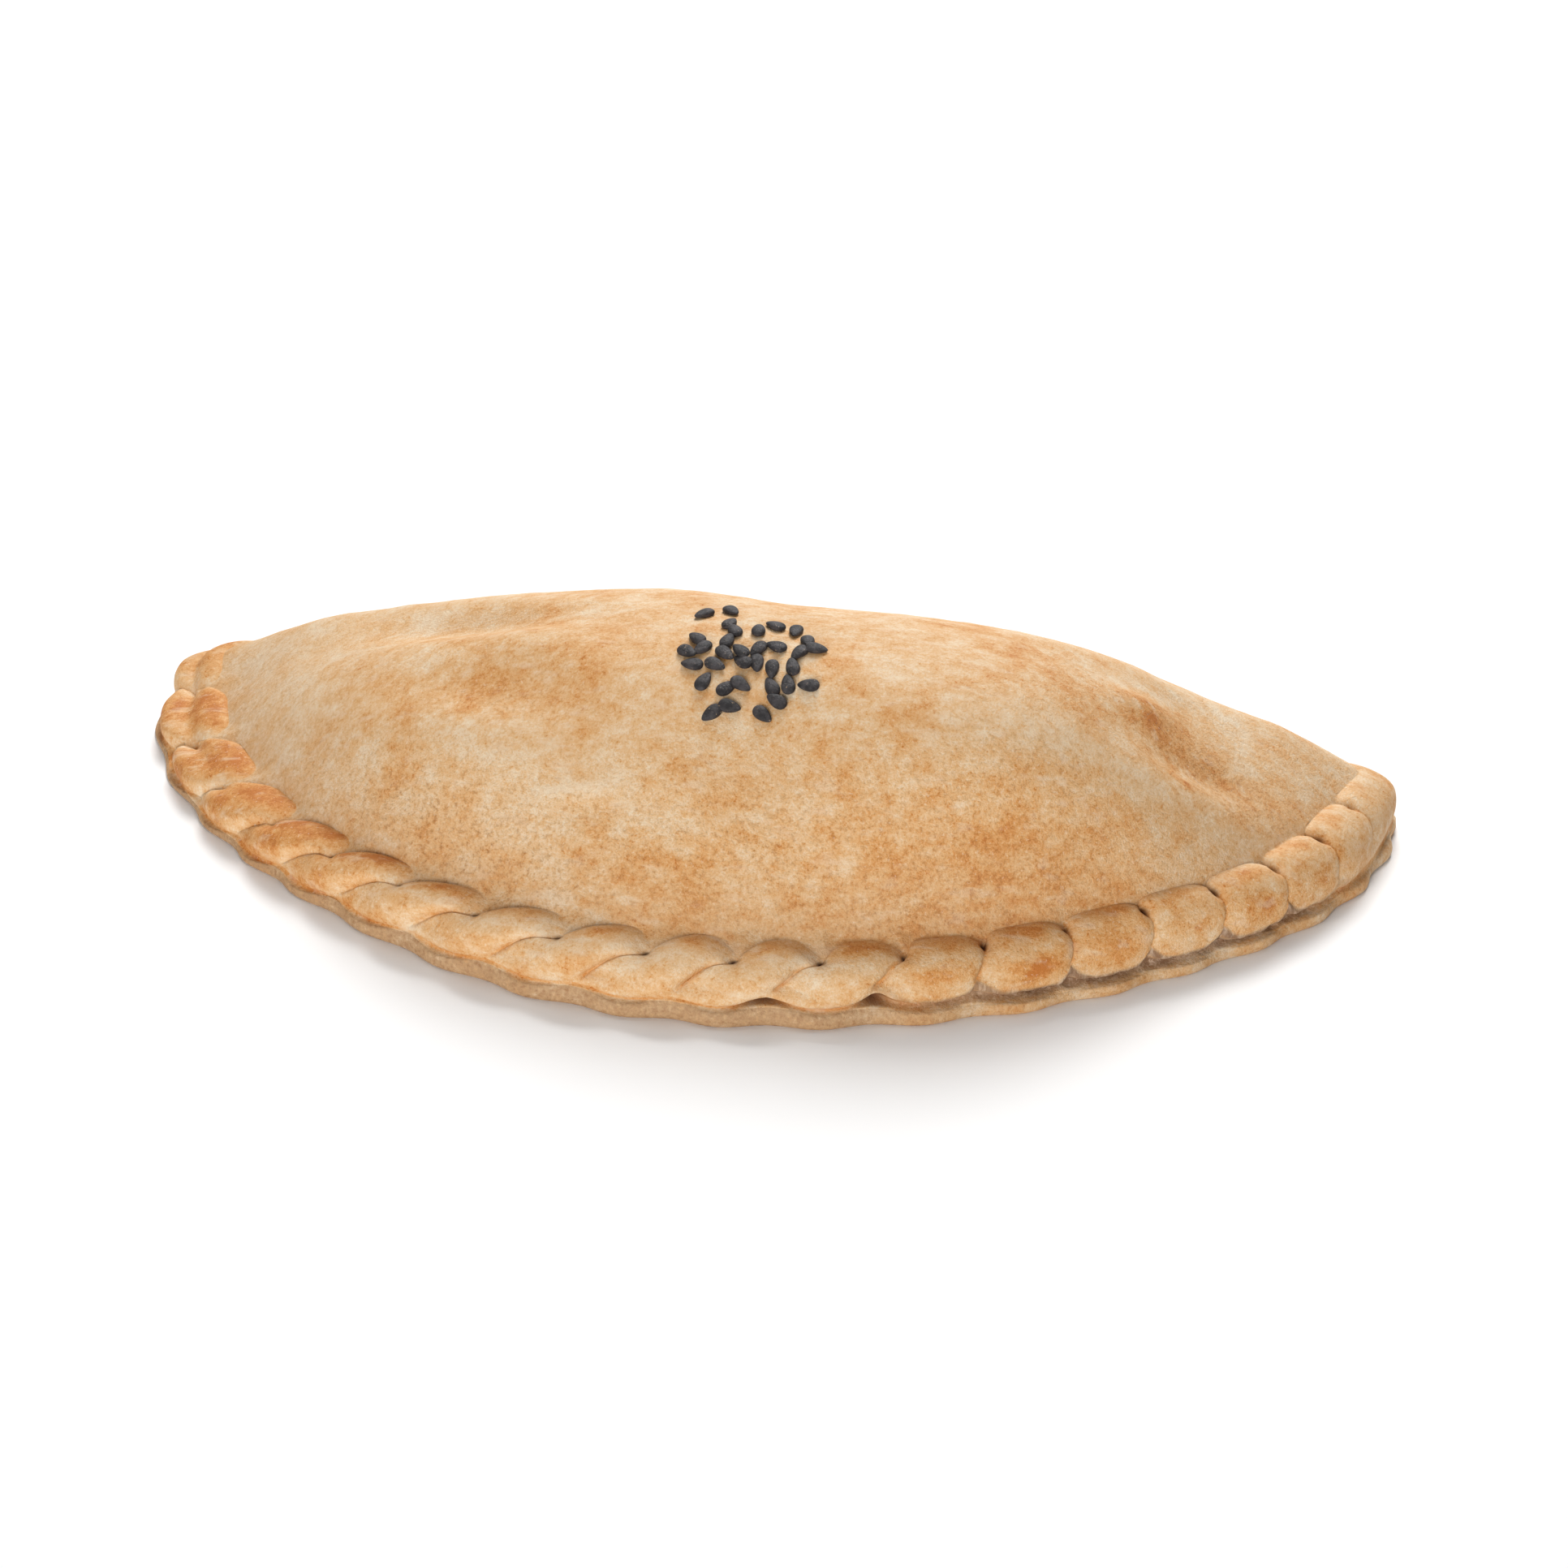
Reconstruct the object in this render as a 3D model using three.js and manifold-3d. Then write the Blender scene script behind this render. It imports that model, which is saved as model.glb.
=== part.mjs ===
// Half-moon empanada: a disc of dough folded over its filling and baked whole. The curved edge is crimped
// into a rope of slanting pleats above a thin lip, the back is a plain fold, and sesame seeds stick to the
// crown. Millimetres, +Z up, length along X, crimped edge towards -Y, resting flat on Z = 0.

import * as THREE from 'three';
import { mergeVertices } from 'three/addons/utils/BufferGeometryUtils.js';
import Module from 'manifold-3d';

const { clamp, degToRad, euclideanModulo, lerp, radToDeg } = THREE.MathUtils;

// Plan outline: two half superellipses that meet on the line between the tips. The back one reaches
// further on the right than on the left, by its tilt
const HALF_LENGTH = 87.5;
const TIP_LINE = { x: 1.8, y: 29.9 };
const FRONT = { reach: 66.2, power: 2.12, tilt: 0 };
const BACK = { reach: 11.6, power: 5, tilt: 0.095 };
// Unevenness of the hand-cut disc: share of the radius, place and width in degrees
const EDGE_WAVES = [
  { share: 0.04, at: 181.4, wide: 16.8 },
  { share: -0.049, at: 228, wide: 30.1 },
  { share: 0.041, at: 266.3, wide: 18.7 },
  { share: -0.057, at: 320.4, wide: 26.8 },
];
// The crimped stretch of the outline, as turn angles counted from the right through the back
const CRIMP_FROM = degToRad(156.6);
const CRIMP_TO = degToRad(372.6);

// Filled dome: its top, the half axes of the contours round the top, and how far it bulges each way
const CROWN = { x: 9.9, y: 0.5, z: 38.1 };
const CROWN_OVAL = { left: 72.7, right: 60.8, front: 31, back: 31.5 };
const BULGE = { left: 0.64, right: 1.05, front: -0.03, back: 0.38 };
// The dome meets the rope this share of its half width inward of its middle, and this far above it
const DOME_FOOT = { inward: 0.74, above: 1.4 };
// The last stretch of the dome bends to the scalloped rope, from these shares of the way down: along the
// rope, and as it would be where the rope gives way to the fold at once
const LAST_STRETCH = { alongRope: 0.97, atTips: 0.7 };
// Shallow hollows: place, half lengths along and across, turn in degrees, depth
const HOLLOWS = [
  { x: -29, y: -6, along: 16, across: 6, turn: -20, depth: 1.7 },
  { x: -37, y: 11, along: 18, across: 6.5, turn: -20, depth: 1.7 },
  { x: 67, y: 17, along: 13, across: 14, turn: 0, depth: 5 },
];
const HOLLOW_EDGE_POWER = 8;

// Crimped rope: its section is an oval that starts on the dome and ends curled under above the lip
const ROPE = { inward: 6.4, half: 5.4, height: 5.5, rise: 4.3 };
const ROPE_TURN = [degToRad(24), degToRad(214.4)];
// Pleats narrow from left to right, and a crease slants by a share of a pleat as it crosses the rope
const PLEAT = { first: 17.9, last: 10.55, start: -1.13, skew: 1.1, roundness: 0.55 };
const SLANT = { left: 0.5, right: 0.75, grows: [0, 90] };
const PLEAT_RANGE = [-1, 17.5];
// Pleats differ in size by this share, in no order
const PLEAT_UNEVENNESS = { share: 0.1, step: 12.9898 };
// Depth of the creases as shares of the section: near the dome, over the top, everywhere, and at the right
const CREASE = { inner: 0.36, over: 0.2, all: 0.04, right: 0.14 };
const INNER_STRETCH = [0.12, 0.62];
const OVER_STRETCH = [0.8, 1];
const PIT = { depth: 1, at: 0.17, wide: 0.09, power: 1.5 };

// Changes along the front, over stretches given as shares of its length from the left tip to the right
const LEFT_FLATTENING = { by: 0.2, over: [0, 0.16] };
const LEFT_NARROWING = { by: 0.4, over: [0, 0.06] };
const LEFT_PRESSING = { depth: 1.5, over: [0.06, 0.17], at: 0.42, wide: 0.12 };
const LEFT_DROP = { by: 1.4, over: [0.08, 0.35] };
const RIGHT_THINNING = { by: 0.35, over: [0.87, 1] };
const RIGHT_DROP = { by: 1.2, over: [0.88, 1] };
// The rope overhangs the lip more towards the tips
const OVERHANG = { left: 0.9, leftOver: [0.1, 0.35], right: 0.5, rightOver: [0.9, 1] };
// The seam gapes on the right, where the rope's outer edge lifts off a thinner lip
const GAPE = { lift: 2.6, outward: 0.1, opens: [0.58, 0.72], closes: [0.88, 0.97], over: [0.62, 1] };
const LIP = { thickness: 3, thinner: 1.2, round: 1, scallop: 0.35 };
const GROOVE = { depth: 0.5, leftShallower: 0.35, gaping: 0.75 };

// Plain fold at the back: its radius in the middle and at the tips, and the arc that it turns through
const FOLD = { middle: 10, left: 5.1, right: 4.5, swell: [0, 0.7], swellPower: 0.8 };
const FOLD_TURN = [degToRad(140), degToRad(270)];
// Lengths of outline over which the crimping gives way to the fold past a tip
const CRIMP_FADE = [0, 9];
const DOME_FADE = [-30, 30];
const LEFT_SLANT_FADE = [-12, 20];
const RIGHT_SLANT_FADE = [-5, 25];

// Mesh steps
const STEPS_PER_PLEAT = 6;
const FOLD_STEPS = 30;
const DOME_ROWS = 13;
const DOME_ROW_CROWDING = 1.3;
const ROPE_ROWS = 9;
const GROOVE_ROWS = 2;
const LIP_ROWS = 3;
const OUTLINE_SAMPLES = 4000;

// Sesame seeds in a bell-shaped scatter, the same in every run
const SEED = { length: 3.1, width: 1.85, thickness: 1, taper: 0.3, sunk: 0.3 };
const SEED_COUNT = 34;
const SEED_DRAW = 75584;
const SEED_PATCH = { x: 6.7, y: -4.8, spreadX: 5.2, spreadY: 5 };
const SEED_GAP = 1.7;
const SEED_STEPS = { around: 6, along: 4 };

const CRUST_COLOUR = 0xdcae78;
const MERGE_WITHIN = 1e-4;

function smooth([from, to], value) {
  const share = clamp((value - from) / (to - from), 0, 1);
  return share * share * (3 - 2 * share);
}

const bell = (away, wide) => Math.exp(-((away / wide) ** 2));

// One point of the plan outline at a turn angle
function outlinePoint(angle) {
  const cos = Math.cos(angle);
  const sin = Math.sin(angle);
  const side = sin < 0 ? FRONT : BACK;
  let radius = 1;
  for (const wave of EDGE_WAVES) {
    const away = euclideanModulo(radToDeg(angle) - wave.at + 180, 360) - 180;
    radius += wave.share * bell(away, wave.wide);
  }
  const x = HALF_LENGTH * Math.sign(cos) * Math.abs(cos) ** (2 / side.power);
  const reach = side.reach * (1 + (side.tilt * x * radius) / HALF_LENGTH);
  const y = reach * Math.sign(sin) * Math.abs(sin) ** (2 / side.power);
  return new THREE.Vector2(TIP_LINE.x + x * radius, TIP_LINE.y + y * radius);
}

// The outline walked once round from the left tip along the front, with the length walked at each sample
const walk = [];
for (let i = 0; i <= OUTLINE_SAMPLES; i += 1) {
  const point = outlinePoint(CRIMP_FROM + (2 * Math.PI * i) / OUTLINE_SAMPLES);
  const arc = i === 0 ? 0 : walk[i - 1].arc + point.distanceTo(walk[i - 1].point);
  walk.push({ point, arc });
}
const AROUND = walk[OUTLINE_SAMPLES].arc;
const FRONT_ARC = walk[Math.round((OUTLINE_SAMPLES * (CRIMP_TO - CRIMP_FROM)) / (2 * Math.PI))].arc;
const MIDDLE_OF_FOLD = (FRONT_ARC + AROUND) / 2;

function pointAtArc(arc) {
  const target = euclideanModulo(arc, AROUND);
  let low = 0;
  let high = OUTLINE_SAMPLES;
  while (high - low > 1) {
    const middle = (low + high) >> 1;
    if (walk[middle].arc <= target) low = middle;
    else high = middle;
  }
  const share = (target - walk[low].arc) / (walk[high].arc - walk[low].arc);
  return walk[low].point.clone().lerp(walk[high].point, share);
}

// Length walked at a pleat number, and the other way round
const PITCH_CHANGE = (PLEAT.last - PLEAT.first) / FRONT_ARC;
const PITCH_SCALE = PLEAT.first / PITCH_CHANGE;
const arcOfPleat = (pleat) => PITCH_SCALE * (Math.exp(PITCH_CHANGE * (pleat - PLEAT.start)) - 1);
const pleatOfArc = (arc) => PLEAT.start + Math.log(1 + arc / PITCH_SCALE) / PITCH_CHANGE;

// Length walked, running below 0 behind the left tip and past the front's length behind the right one
function signedArc(arc) {
  const walked = euclideanModulo(arc, AROUND);
  return walked > MIDDLE_OF_FOLD ? walked - AROUND : walked;
}

// Everything about the edge at one length along it
function edgeAt(arc) {
  const rim = pointAtArc(arc);
  const toCrown = new THREE.Vector2(CROWN.x, CROWN.y).sub(rim);
  const reach = toCrown.length();
  const walked = signedArc(arc);
  const pastTip = Math.max(-walked, walked - FRONT_ARC);
  const along = clamp(walked / FRONT_ARC, 0, 1);
  const atMiddle = clamp(1 - Math.abs(rim.x - TIP_LINE.x) / HALF_LENGTH, 0, 1);
  const tipFold = rim.x < TIP_LINE.x ? FOLD.left : FOLD.right;
  const swell = smooth(FOLD.swell, atMiddle) ** FOLD.swellPower;
  const leftDrop = LEFT_DROP.by * (1 - smooth(LEFT_DROP.over, along));
  const leftPart = 1 - smooth(OVERHANG.leftOver, along);
  const opening = smooth(GAPE.opens, along);
  const rightThinning = RIGHT_THINNING.by * smooth(RIGHT_THINNING.over, along);
  return {
    rim,
    reach,
    opening,
    direction: toCrown.divideScalar(reach),
    crimp: 1 - smooth(CRIMP_FADE, pastTip),
    domeCrimp: 1 - smooth(DOME_FADE, pastTip),
    drop: leftDrop + RIGHT_DROP.by * smooth(RIGHT_DROP.over, along),
    lip: LIP.thickness - leftDrop - LIP.thinner * opening,
    gape: GAPE.lift * opening * (1 - smooth(GAPE.closes, along)),
    flat: 1 - LEFT_FLATTENING.by * (1 - smooth(LEFT_FLATTENING.over, along)) - rightThinning,
    narrow: 1 - LEFT_NARROWING.by * (1 - smooth(LEFT_NARROWING.over, along)) - rightThinning,
    pressing: LEFT_PRESSING.depth * (1 - smooth(LEFT_PRESSING.over, along)),
    overhang: OVERHANG.left * leftPart + OVERHANG.right * smooth(OVERHANG.rightOver, along),
    groove: GROOVE.depth - GROOVE.leftShallower * leftPart,
    fold: lerp(tipFold, FOLD.middle, swell),
  };
}

// Cross-section of one pleat from crease to crease, 0 at the crease and 1 on its round back
const pleatBack = (share) => Math.sin(Math.PI * share ** PLEAT.skew) ** PLEAT.roundness;

// The rope at a share of the way over it, from the dome side to the underside above the lip
function ropeProfile(edge, over, share, lobe) {
  const turn = lerp(...ROPE_TURN, over);
  const back = pleatBack(share);
  const inner = CREASE.inner * (1 - smooth(INNER_STRETCH, over));
  const top = CREASE.over * (1 - smooth(OVER_STRETCH, over));
  const depth = (inner + top + CREASE.all + CREASE.right * edge.opening) * edge.crimp;
  const uneven = PLEAT_UNEVENNESS.share * Math.sin(PLEAT_UNEVENNESS.step * lobe);
  const size = 1 - depth + depth * back * (1 + uneven);
  const lift = edge.gape * smooth(GAPE.over, over);
  const pressed = edge.pressing * bell(over - LEFT_PRESSING.at, LEFT_PRESSING.wide);
  const pit = PIT.depth * edge.crimp * (1 - back) ** PIT.power * bell(over - PIT.at, PIT.wide);
  const upright = Math.sin(turn) > 0 ? size : 1;
  const across = ROPE.half * Math.cos(turn) * size;
  const rise = edge.flat * ROPE.rise * Math.sin(turn) * upright;
  return {
    inward: edge.narrow * (ROPE.inward - edge.overhang + across) + GAPE.outward * lift,
    height: ROPE.height - edge.drop + rise + lift - pressed - pit,
  };
}

// The groove under the rope, then the half-round lip down to the flat underside
function lipProfile(edge, row, share, lobe) {
  if (row < GROOVE_ROWS) {
    const down = (row + 1) / GROOVE_ROWS;
    const underRope = ropeProfile(edge, 1, share, lobe);
    const hollow = (edge.groove + GROOVE.gaping * edge.gape) * Math.sin(Math.PI * down);
    return {
      inward: lerp(underRope.inward, LIP.round, down) + hollow,
      height: lerp(underRope.height, edge.lip, down),
    };
  }
  const turn = (Math.PI * (row - GROOVE_ROWS + 1)) / LIP_ROWS;
  return {
    inward: LIP.round * (1 - Math.sin(turn)) + LIP.scallop * Math.cos(2 * Math.PI * share),
    height: (edge.lip / 2) * (1 + Math.cos(turn)),
  };
}

// Rows from the inner side of the rope down to the underside, giving way to the fold past the tips
const EDGE_ROWS = ROPE_ROWS + GROOVE_ROWS + LIP_ROWS;

function edgeProfile(edge, row, share, lobe) {
  const crimped = row < ROPE_ROWS
    ? ropeProfile(edge, row / (ROPE_ROWS - 1), share, lobe)
    : lipProfile(edge, row - ROPE_ROWS, share, lobe);
  const turn = lerp(...FOLD_TURN, row / (EDGE_ROWS - 1));
  return {
    inward: lerp(edge.fold * (1 + Math.cos(turn)), crimped.inward, edge.crimp),
    height: lerp(edge.fold * (1 + Math.sin(turn)), crimped.height, edge.crimp),
  };
}

// Where the smooth dome ends, before it follows the scalloped inner side of the rope
function domeFoot(edge) {
  const ropeFoot = edge.narrow * (ROPE.inward - edge.overhang + DOME_FOOT.inward * ROPE.half);
  const ropeFootHeight = ROPE.height - edge.drop + DOME_FOOT.above;
  return {
    distance: edge.reach - lerp(edge.fold * (1 + Math.cos(FOLD_TURN[0])), ropeFoot, edge.domeCrimp),
    height: lerp(edge.fold * (1 + Math.sin(FOLD_TURN[0])), ropeFootHeight, edge.domeCrimp),
  };
}

// Distance from the crown and height at a share of the way down the dome towards one point of the edge:
// contours are ovals near the crown and take the shape of the edge further down
function domePoint(edge, share) {
  const foot = domeFoot(edge);
  const { x, y } = edge.direction;
  const halfX = x > 0 ? CROWN_OVAL.left : CROWN_OVAL.right;
  const halfY = y > 0 ? CROWN_OVAL.front : CROWN_OVAL.back;
  const oval = 1 / Math.hypot(x / halfX, y / halfY);
  const sideways = (x > 0 ? BULGE.left : BULGE.right) - BULGE.front;
  const backways = BULGE.back - BULGE.front;
  const bulge = BULGE.front + sideways * x ** 2 + backways * Math.max(-y, 0) ** 2;
  const squared = share ** 2;
  return {
    distance: share * lerp(oval, foot.distance, squared),
    height: foot.height + (CROWN.z - foot.height) * (1 - squared) * (1 + bulge * squared),
  };
}

function hollowDepth(x, y) {
  let depth = 0;
  for (const hollow of HOLLOWS) {
    const place = new THREE.Vector2(x - hollow.x, y - hollow.y);
    place.rotateAround(new THREE.Vector2(), -degToRad(hollow.turn));
    depth += hollow.depth * bell(place.x, hollow.along) * bell(place.y, hollow.across);
  }
  return depth;
}

// Columns of the crust's grid: every step of every pleat along the front, then even steps along the fold
const columns = [];
for (let step = PLEAT_RANGE[0] * STEPS_PER_PLEAT; step <= PLEAT_RANGE[1] * STEPS_PER_PLEAT; step += 1) {
  columns.push({ pleat: step / STEPS_PER_PLEAT, arc: arcOfPleat(step / STEPS_PER_PLEAT) });
}
const foldStart = arcOfPleat(PLEAT_RANGE[1]);
const foldEnd = AROUND + arcOfPleat(PLEAT_RANGE[0]);
for (let step = 1; step < FOLD_STEPS; step += 1) {
  const arc = lerp(foldStart, foldEnd, step / FOLD_STEPS);
  columns.push({ pleat: pleatOfArc(signedArc(arc)), arc });
}

// A column leans along the edge as it crosses the rope, so that each crease lies on one column
function leaningArc(column, over) {
  const walked = signedArc(column.arc);
  const fade = smooth(LEFT_SLANT_FADE, walked) * (1 - smooth(RIGHT_SLANT_FADE, walked - FRONT_ARC));
  const slant = lerp(SLANT.left, SLANT.right, smooth(SLANT.grows, walked)) * fade;
  return slant === 0 ? column.arc : arcOfPleat(column.pleat - slant * over);
}

const pointOn = (edge, inward, height) => new THREE.Vector3(
  edge.rim.x + edge.direction.x * inward,
  edge.rim.y + edge.direction.y * inward,
  height,
);

function columnPoints(column) {
  const share = euclideanModulo(column.pleat, 1);
  const lobe = Math.floor(column.pleat);
  const straight = edgeAt(column.arc);
  const foot = domeFoot(straight);
  const start = edgeProfile(straight, 0, share, lobe);
  const further = straight.reach - start.inward - foot.distance;
  const change = Math.abs(straight.crimp - straight.domeCrimp);
  const lastStretch = [lerp(LAST_STRETCH.alongRope, LAST_STRETCH.atTips, change), 1];
  const points = [];
  for (let row = 1; row < DOME_ROWS; row += 1) {
    const out = 1 - (1 - row / DOME_ROWS) ** DOME_ROW_CROWDING;
    const follow = smooth(lastStretch, out);
    const dome = domePoint(straight, out);
    const point = pointOn(straight, straight.reach - dome.distance - further * follow, dome.height);
    point.z += (start.height - foot.height) * follow;
    point.z -= hollowDepth(point.x, point.y) * (1 - out ** HOLLOW_EDGE_POWER);
    points.push(point);
  }
  for (let row = 0; row < EDGE_ROWS; row += 1) {
    const edge = edgeAt(leaningArc(column, Math.min(row / (ROPE_ROWS - 1), 1)));
    const profile = edgeProfile(edge, row, share, lobe);
    points.push(pointOn(edge, profile.inward, profile.height));
  }
  return points;
}

// The columns closed over the crown and across the flat underside
function crustGeometry() {
  const grid = columns.map(columnPoints);
  const rows = grid[0].length;
  const crown = new THREE.Vector3(CROWN.x, CROWN.y, CROWN.z - hollowDepth(CROWN.x, CROWN.y));
  const underside = new THREE.Vector3(CROWN.x, CROWN.y, 0);
  const vertices = [...grid.flat(), crown, underside];
  const crownIndex = vertices.length - 2;
  const undersideIndex = vertices.length - 1;
  const index = [];
  for (let c = 0; c < grid.length; c += 1) {
    const here = c * rows;
    const next = ((c + 1) % grid.length) * rows;
    index.push(crownIndex, here, next);
    for (let r = 0; r < rows - 1; r += 1) {
      index.push(here + r, here + r + 1, next + r + 1);
      index.push(here + r, next + r + 1, next + r);
    }
    index.push(undersideIndex, next + rows - 1, here + rows - 1);
  }
  const geometry = new THREE.BufferGeometry().setFromPoints(vertices);
  geometry.setIndex(index);
  return geometry;
}

// Height of the dome over a plan point: the share of the way down is found by halving
const spokes = columns.map((column) => edgeAt(column.arc));
const HALVINGS = 24;

function crustHeight(x, y) {
  const outward = new THREE.Vector2(x - CROWN.x, y - CROWN.y);
  let spoke = spokes[0];
  for (const other of spokes) {
    if (other.direction.dot(outward) < spoke.direction.dot(outward)) spoke = other;
  }
  let low = 0;
  let high = 1;
  for (let i = 0; i < HALVINGS; i += 1) {
    const middle = (low + high) / 2;
    if (domePoint(spoke, middle).distance < outward.length()) low = middle;
    else high = middle;
  }
  return domePoint(spoke, low).height - hollowDepth(x, y);
}

// A number from 0 to 1 for the scatter, the same in every run
function draw(index, kind) {
  const wild = Math.sin(index * 12.9898 + kind * 78.233 + SEED_DRAW * 37.719) * 43758.5453;
  return wild - Math.floor(wild);
}

// Seeds fall in a bell-shaped scatter and none lands too near the middle of another
function scatterSeeds() {
  const seeds = [];
  for (let index = 1; seeds.length < SEED_COUNT; index += 1) {
    const away = Math.sqrt(-2 * Math.log(1 - draw(index, 1)));
    const turn = 2 * Math.PI * draw(index, 2);
    const place = new THREE.Vector2(
      SEED_PATCH.x + SEED_PATCH.spreadX * away * Math.cos(turn),
      SEED_PATCH.y + SEED_PATCH.spreadY * away * Math.sin(turn),
    );
    if (seeds.every((other) => other.place.distanceTo(place) > SEED_GAP)) {
      seeds.push({ place, heading: 2 * Math.PI * draw(index, 3) });
    }
  }
  return seeds;
}

// A flat teardrop, thin end to +Y
function teardrop() {
  const geometry = new THREE.SphereGeometry(1, SEED_STEPS.around, SEED_STEPS.along);
  const position = geometry.getAttribute('position');
  for (let i = 0; i < position.count; i += 1) {
    const narrowing = 1 - SEED.taper * position.getY(i);
    position.setX(i, position.getX(i) * narrowing);
    position.setZ(i, position.getZ(i) * narrowing);
  }
  return geometry.scale(SEED.width / 2, SEED.length / 2, SEED.thickness / 2);
}

// One seed laid flat on the crust, a little sunk into it
function seedGeometry({ place, heading }) {
  const z = crustHeight(place.x, place.y);
  const slopeX = crustHeight(place.x + 1, place.y) - z;
  const slopeY = crustHeight(place.x, place.y + 1) - z;
  const normal = new THREE.Vector3(-slopeX, -slopeY, 1).normalize();
  const across = new THREE.Vector3(Math.sin(heading), -Math.cos(heading), 0);
  across.projectOnPlane(normal).normalize();
  const along = new THREE.Vector3().crossVectors(normal, across);
  const middle = new THREE.Vector3(place.x, place.y, z);
  middle.addScaledVector(normal, SEED.thickness / 2 - SEED.sunk);
  return teardrop().applyMatrix4(new THREE.Matrix4().makeBasis(across, along, normal).setPosition(middle));
}

// Joining the seeds to the crust
const wasm = await Module();
wasm.setup();

function solidOf(geometry) {
  const bare = geometry.clone();
  bare.deleteAttribute('normal');
  bare.deleteAttribute('uv');
  const merged = mergeVertices(bare, MERGE_WITHIN);
  return new wasm.Manifold(new wasm.Mesh({
    numProp: 3,
    vertProperties: new Float32Array(merged.getAttribute('position').array),
    triVerts: new Uint32Array(merged.getIndex().array),
  }));
}

function geometryOf(solid) {
  const mesh = solid.getMesh();
  const geometry = new THREE.BufferGeometry();
  geometry.setAttribute('position', new THREE.BufferAttribute(new Float32Array(mesh.vertProperties), 3));
  geometry.setIndex(new THREE.BufferAttribute(new Uint32Array(mesh.triVerts), 1));
  return geometry;
}

let solid = solidOf(crustGeometry());
for (const seed of scatterSeeds()) {
  solid = solid.add(solidOf(seedGeometry(seed)));
}

// Origin under the middle of the bounding box
const geometry = geometryOf(solid);
geometry.computeBoundingBox();
const middle = geometry.boundingBox.getCenter(new THREE.Vector3());
geometry.translate(-middle.x, -middle.y, -geometry.boundingBox.min.z);
geometry.computeVertexNormals();

const empanada = new THREE.Mesh(
  geometry,
  new THREE.MeshStandardMaterial({ color: CRUST_COLOUR, roughness: 0.85, metalness: 0 }),
);
empanada.name = 'empanada';

const part = new THREE.Group();
part.add(empanada);

export default part;
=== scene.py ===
import bpy
import numpy as np
from mathutils import Matrix, Vector
from mathutils.bvhtree import BVHTree


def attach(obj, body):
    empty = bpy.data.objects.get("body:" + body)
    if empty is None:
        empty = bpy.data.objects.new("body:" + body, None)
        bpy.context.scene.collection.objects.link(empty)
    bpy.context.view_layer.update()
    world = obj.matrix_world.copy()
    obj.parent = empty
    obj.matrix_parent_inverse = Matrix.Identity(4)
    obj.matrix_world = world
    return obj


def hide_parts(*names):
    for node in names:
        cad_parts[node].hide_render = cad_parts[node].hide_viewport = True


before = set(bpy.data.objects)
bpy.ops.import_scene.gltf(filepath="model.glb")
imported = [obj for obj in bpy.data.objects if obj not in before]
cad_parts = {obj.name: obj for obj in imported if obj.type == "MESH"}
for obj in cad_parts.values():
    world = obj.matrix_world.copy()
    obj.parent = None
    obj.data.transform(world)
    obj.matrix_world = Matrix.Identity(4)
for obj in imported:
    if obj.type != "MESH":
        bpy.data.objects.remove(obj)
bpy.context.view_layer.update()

# Crust
# A disc of wholemeal dough folded over its filling. Its curved edge is pinched into a rope of slanting pleats
# above a thin lip, the seam under the rope gapes on the right, and the back is a plain fold. Baked matte and
# floury, browner on the pleats and in the hollows. Painted shade darkens the pits, slots, creases and seam
# groove, the dome's foot behind the heads, the lip and part of the hollows, and painted light pales the
# heads' tops and the back of the top.

# Sizes are in millimetres, and the meshes in metres
MM = 0.001


def smooth(start, stop, value):
    """Rises from 0 at start to 1 at stop with level ends: 3 s^2 - 2 s^3 of the share s between them."""
    share = np.clip((value - start) / (stop - start), 0, 1)
    return share * share * (3 - 2 * share)


def fade(start, stop, value):
    """Falls from 1 at start to 0 at stop with level ends: one minus the smooth rise."""
    return 1 - smooth(start, stop, value)


def bell(away, wide):
    """Bell curve: e to the power of minus the square of away over wide."""
    return np.exp(-((away / wide) ** 2))


def mix(low, high, share):
    """Straight mix of two values by a share."""
    return low + (high - low) * share


# Plan outline: two half superellipses that meet on the line between the tips. The back one reaches further on
# the right than on the left, by its tilt
HALF_LENGTH = 87.5
TIP_LINE = (1.8, 29.9)
FRONT_REACH, FRONT_POWER = 66.2, 2.12
BACK_REACH, BACK_POWER, BACK_TILT = 11.6, 5.0, 0.095
# Unevenness of the hand-cut disc: share of the radius, place and width in degrees
EDGE_WAVES = ((0.04, 181.4, 16.8), (-0.049, 228.0, 30.1), (0.041, 266.3, 18.7), (-0.057, 320.4, 26.8))
CRIMP_FROM, CRIMP_TO = np.radians(156.6), np.radians(372.6)
OUTLINE_SAMPLES = 4000


def outline(angle):
    """Plan outline at a turn angle counted from the right tip through the back: a superellipse of one power
    and reach before the tips' line and another behind it, times one plus a bell for each uneven place."""
    cos, sin = np.cos(angle), np.sin(angle)
    in_front = sin < 0
    power = 2 / np.where(in_front, FRONT_POWER, BACK_POWER)
    radius = np.ones_like(angle)
    for share, place, wide in EDGE_WAVES:
        radius += share * bell(np.mod(np.degrees(angle) - place + 180, 360) - 180, wide)
    sideways = np.sign(cos) * np.abs(cos) ** power * radius
    reach = np.where(in_front, FRONT_REACH, BACK_REACH * (1 + BACK_TILT * sideways))
    backwards = reach * np.sign(sin) * np.abs(sin) ** power * radius
    return TIP_LINE[0] + HALF_LENGTH * sideways, TIP_LINE[1] + backwards


# Lengths along the edge, from where the crimp starts at the left tip, along the front and back along the fold
walk_x, walk_y = outline(CRIMP_FROM + 2 * np.pi * np.arange(OUTLINE_SAMPLES + 1) / OUTLINE_SAMPLES)
walked = np.concatenate([[0], np.cumsum(np.hypot(np.diff(walk_x), np.diff(walk_y)))])
AROUND = walked[-1]
FRONT_ARC = walked[round(OUTLINE_SAMPLES * (CRIMP_TO - CRIMP_FROM) / (2 * np.pi))]

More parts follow.
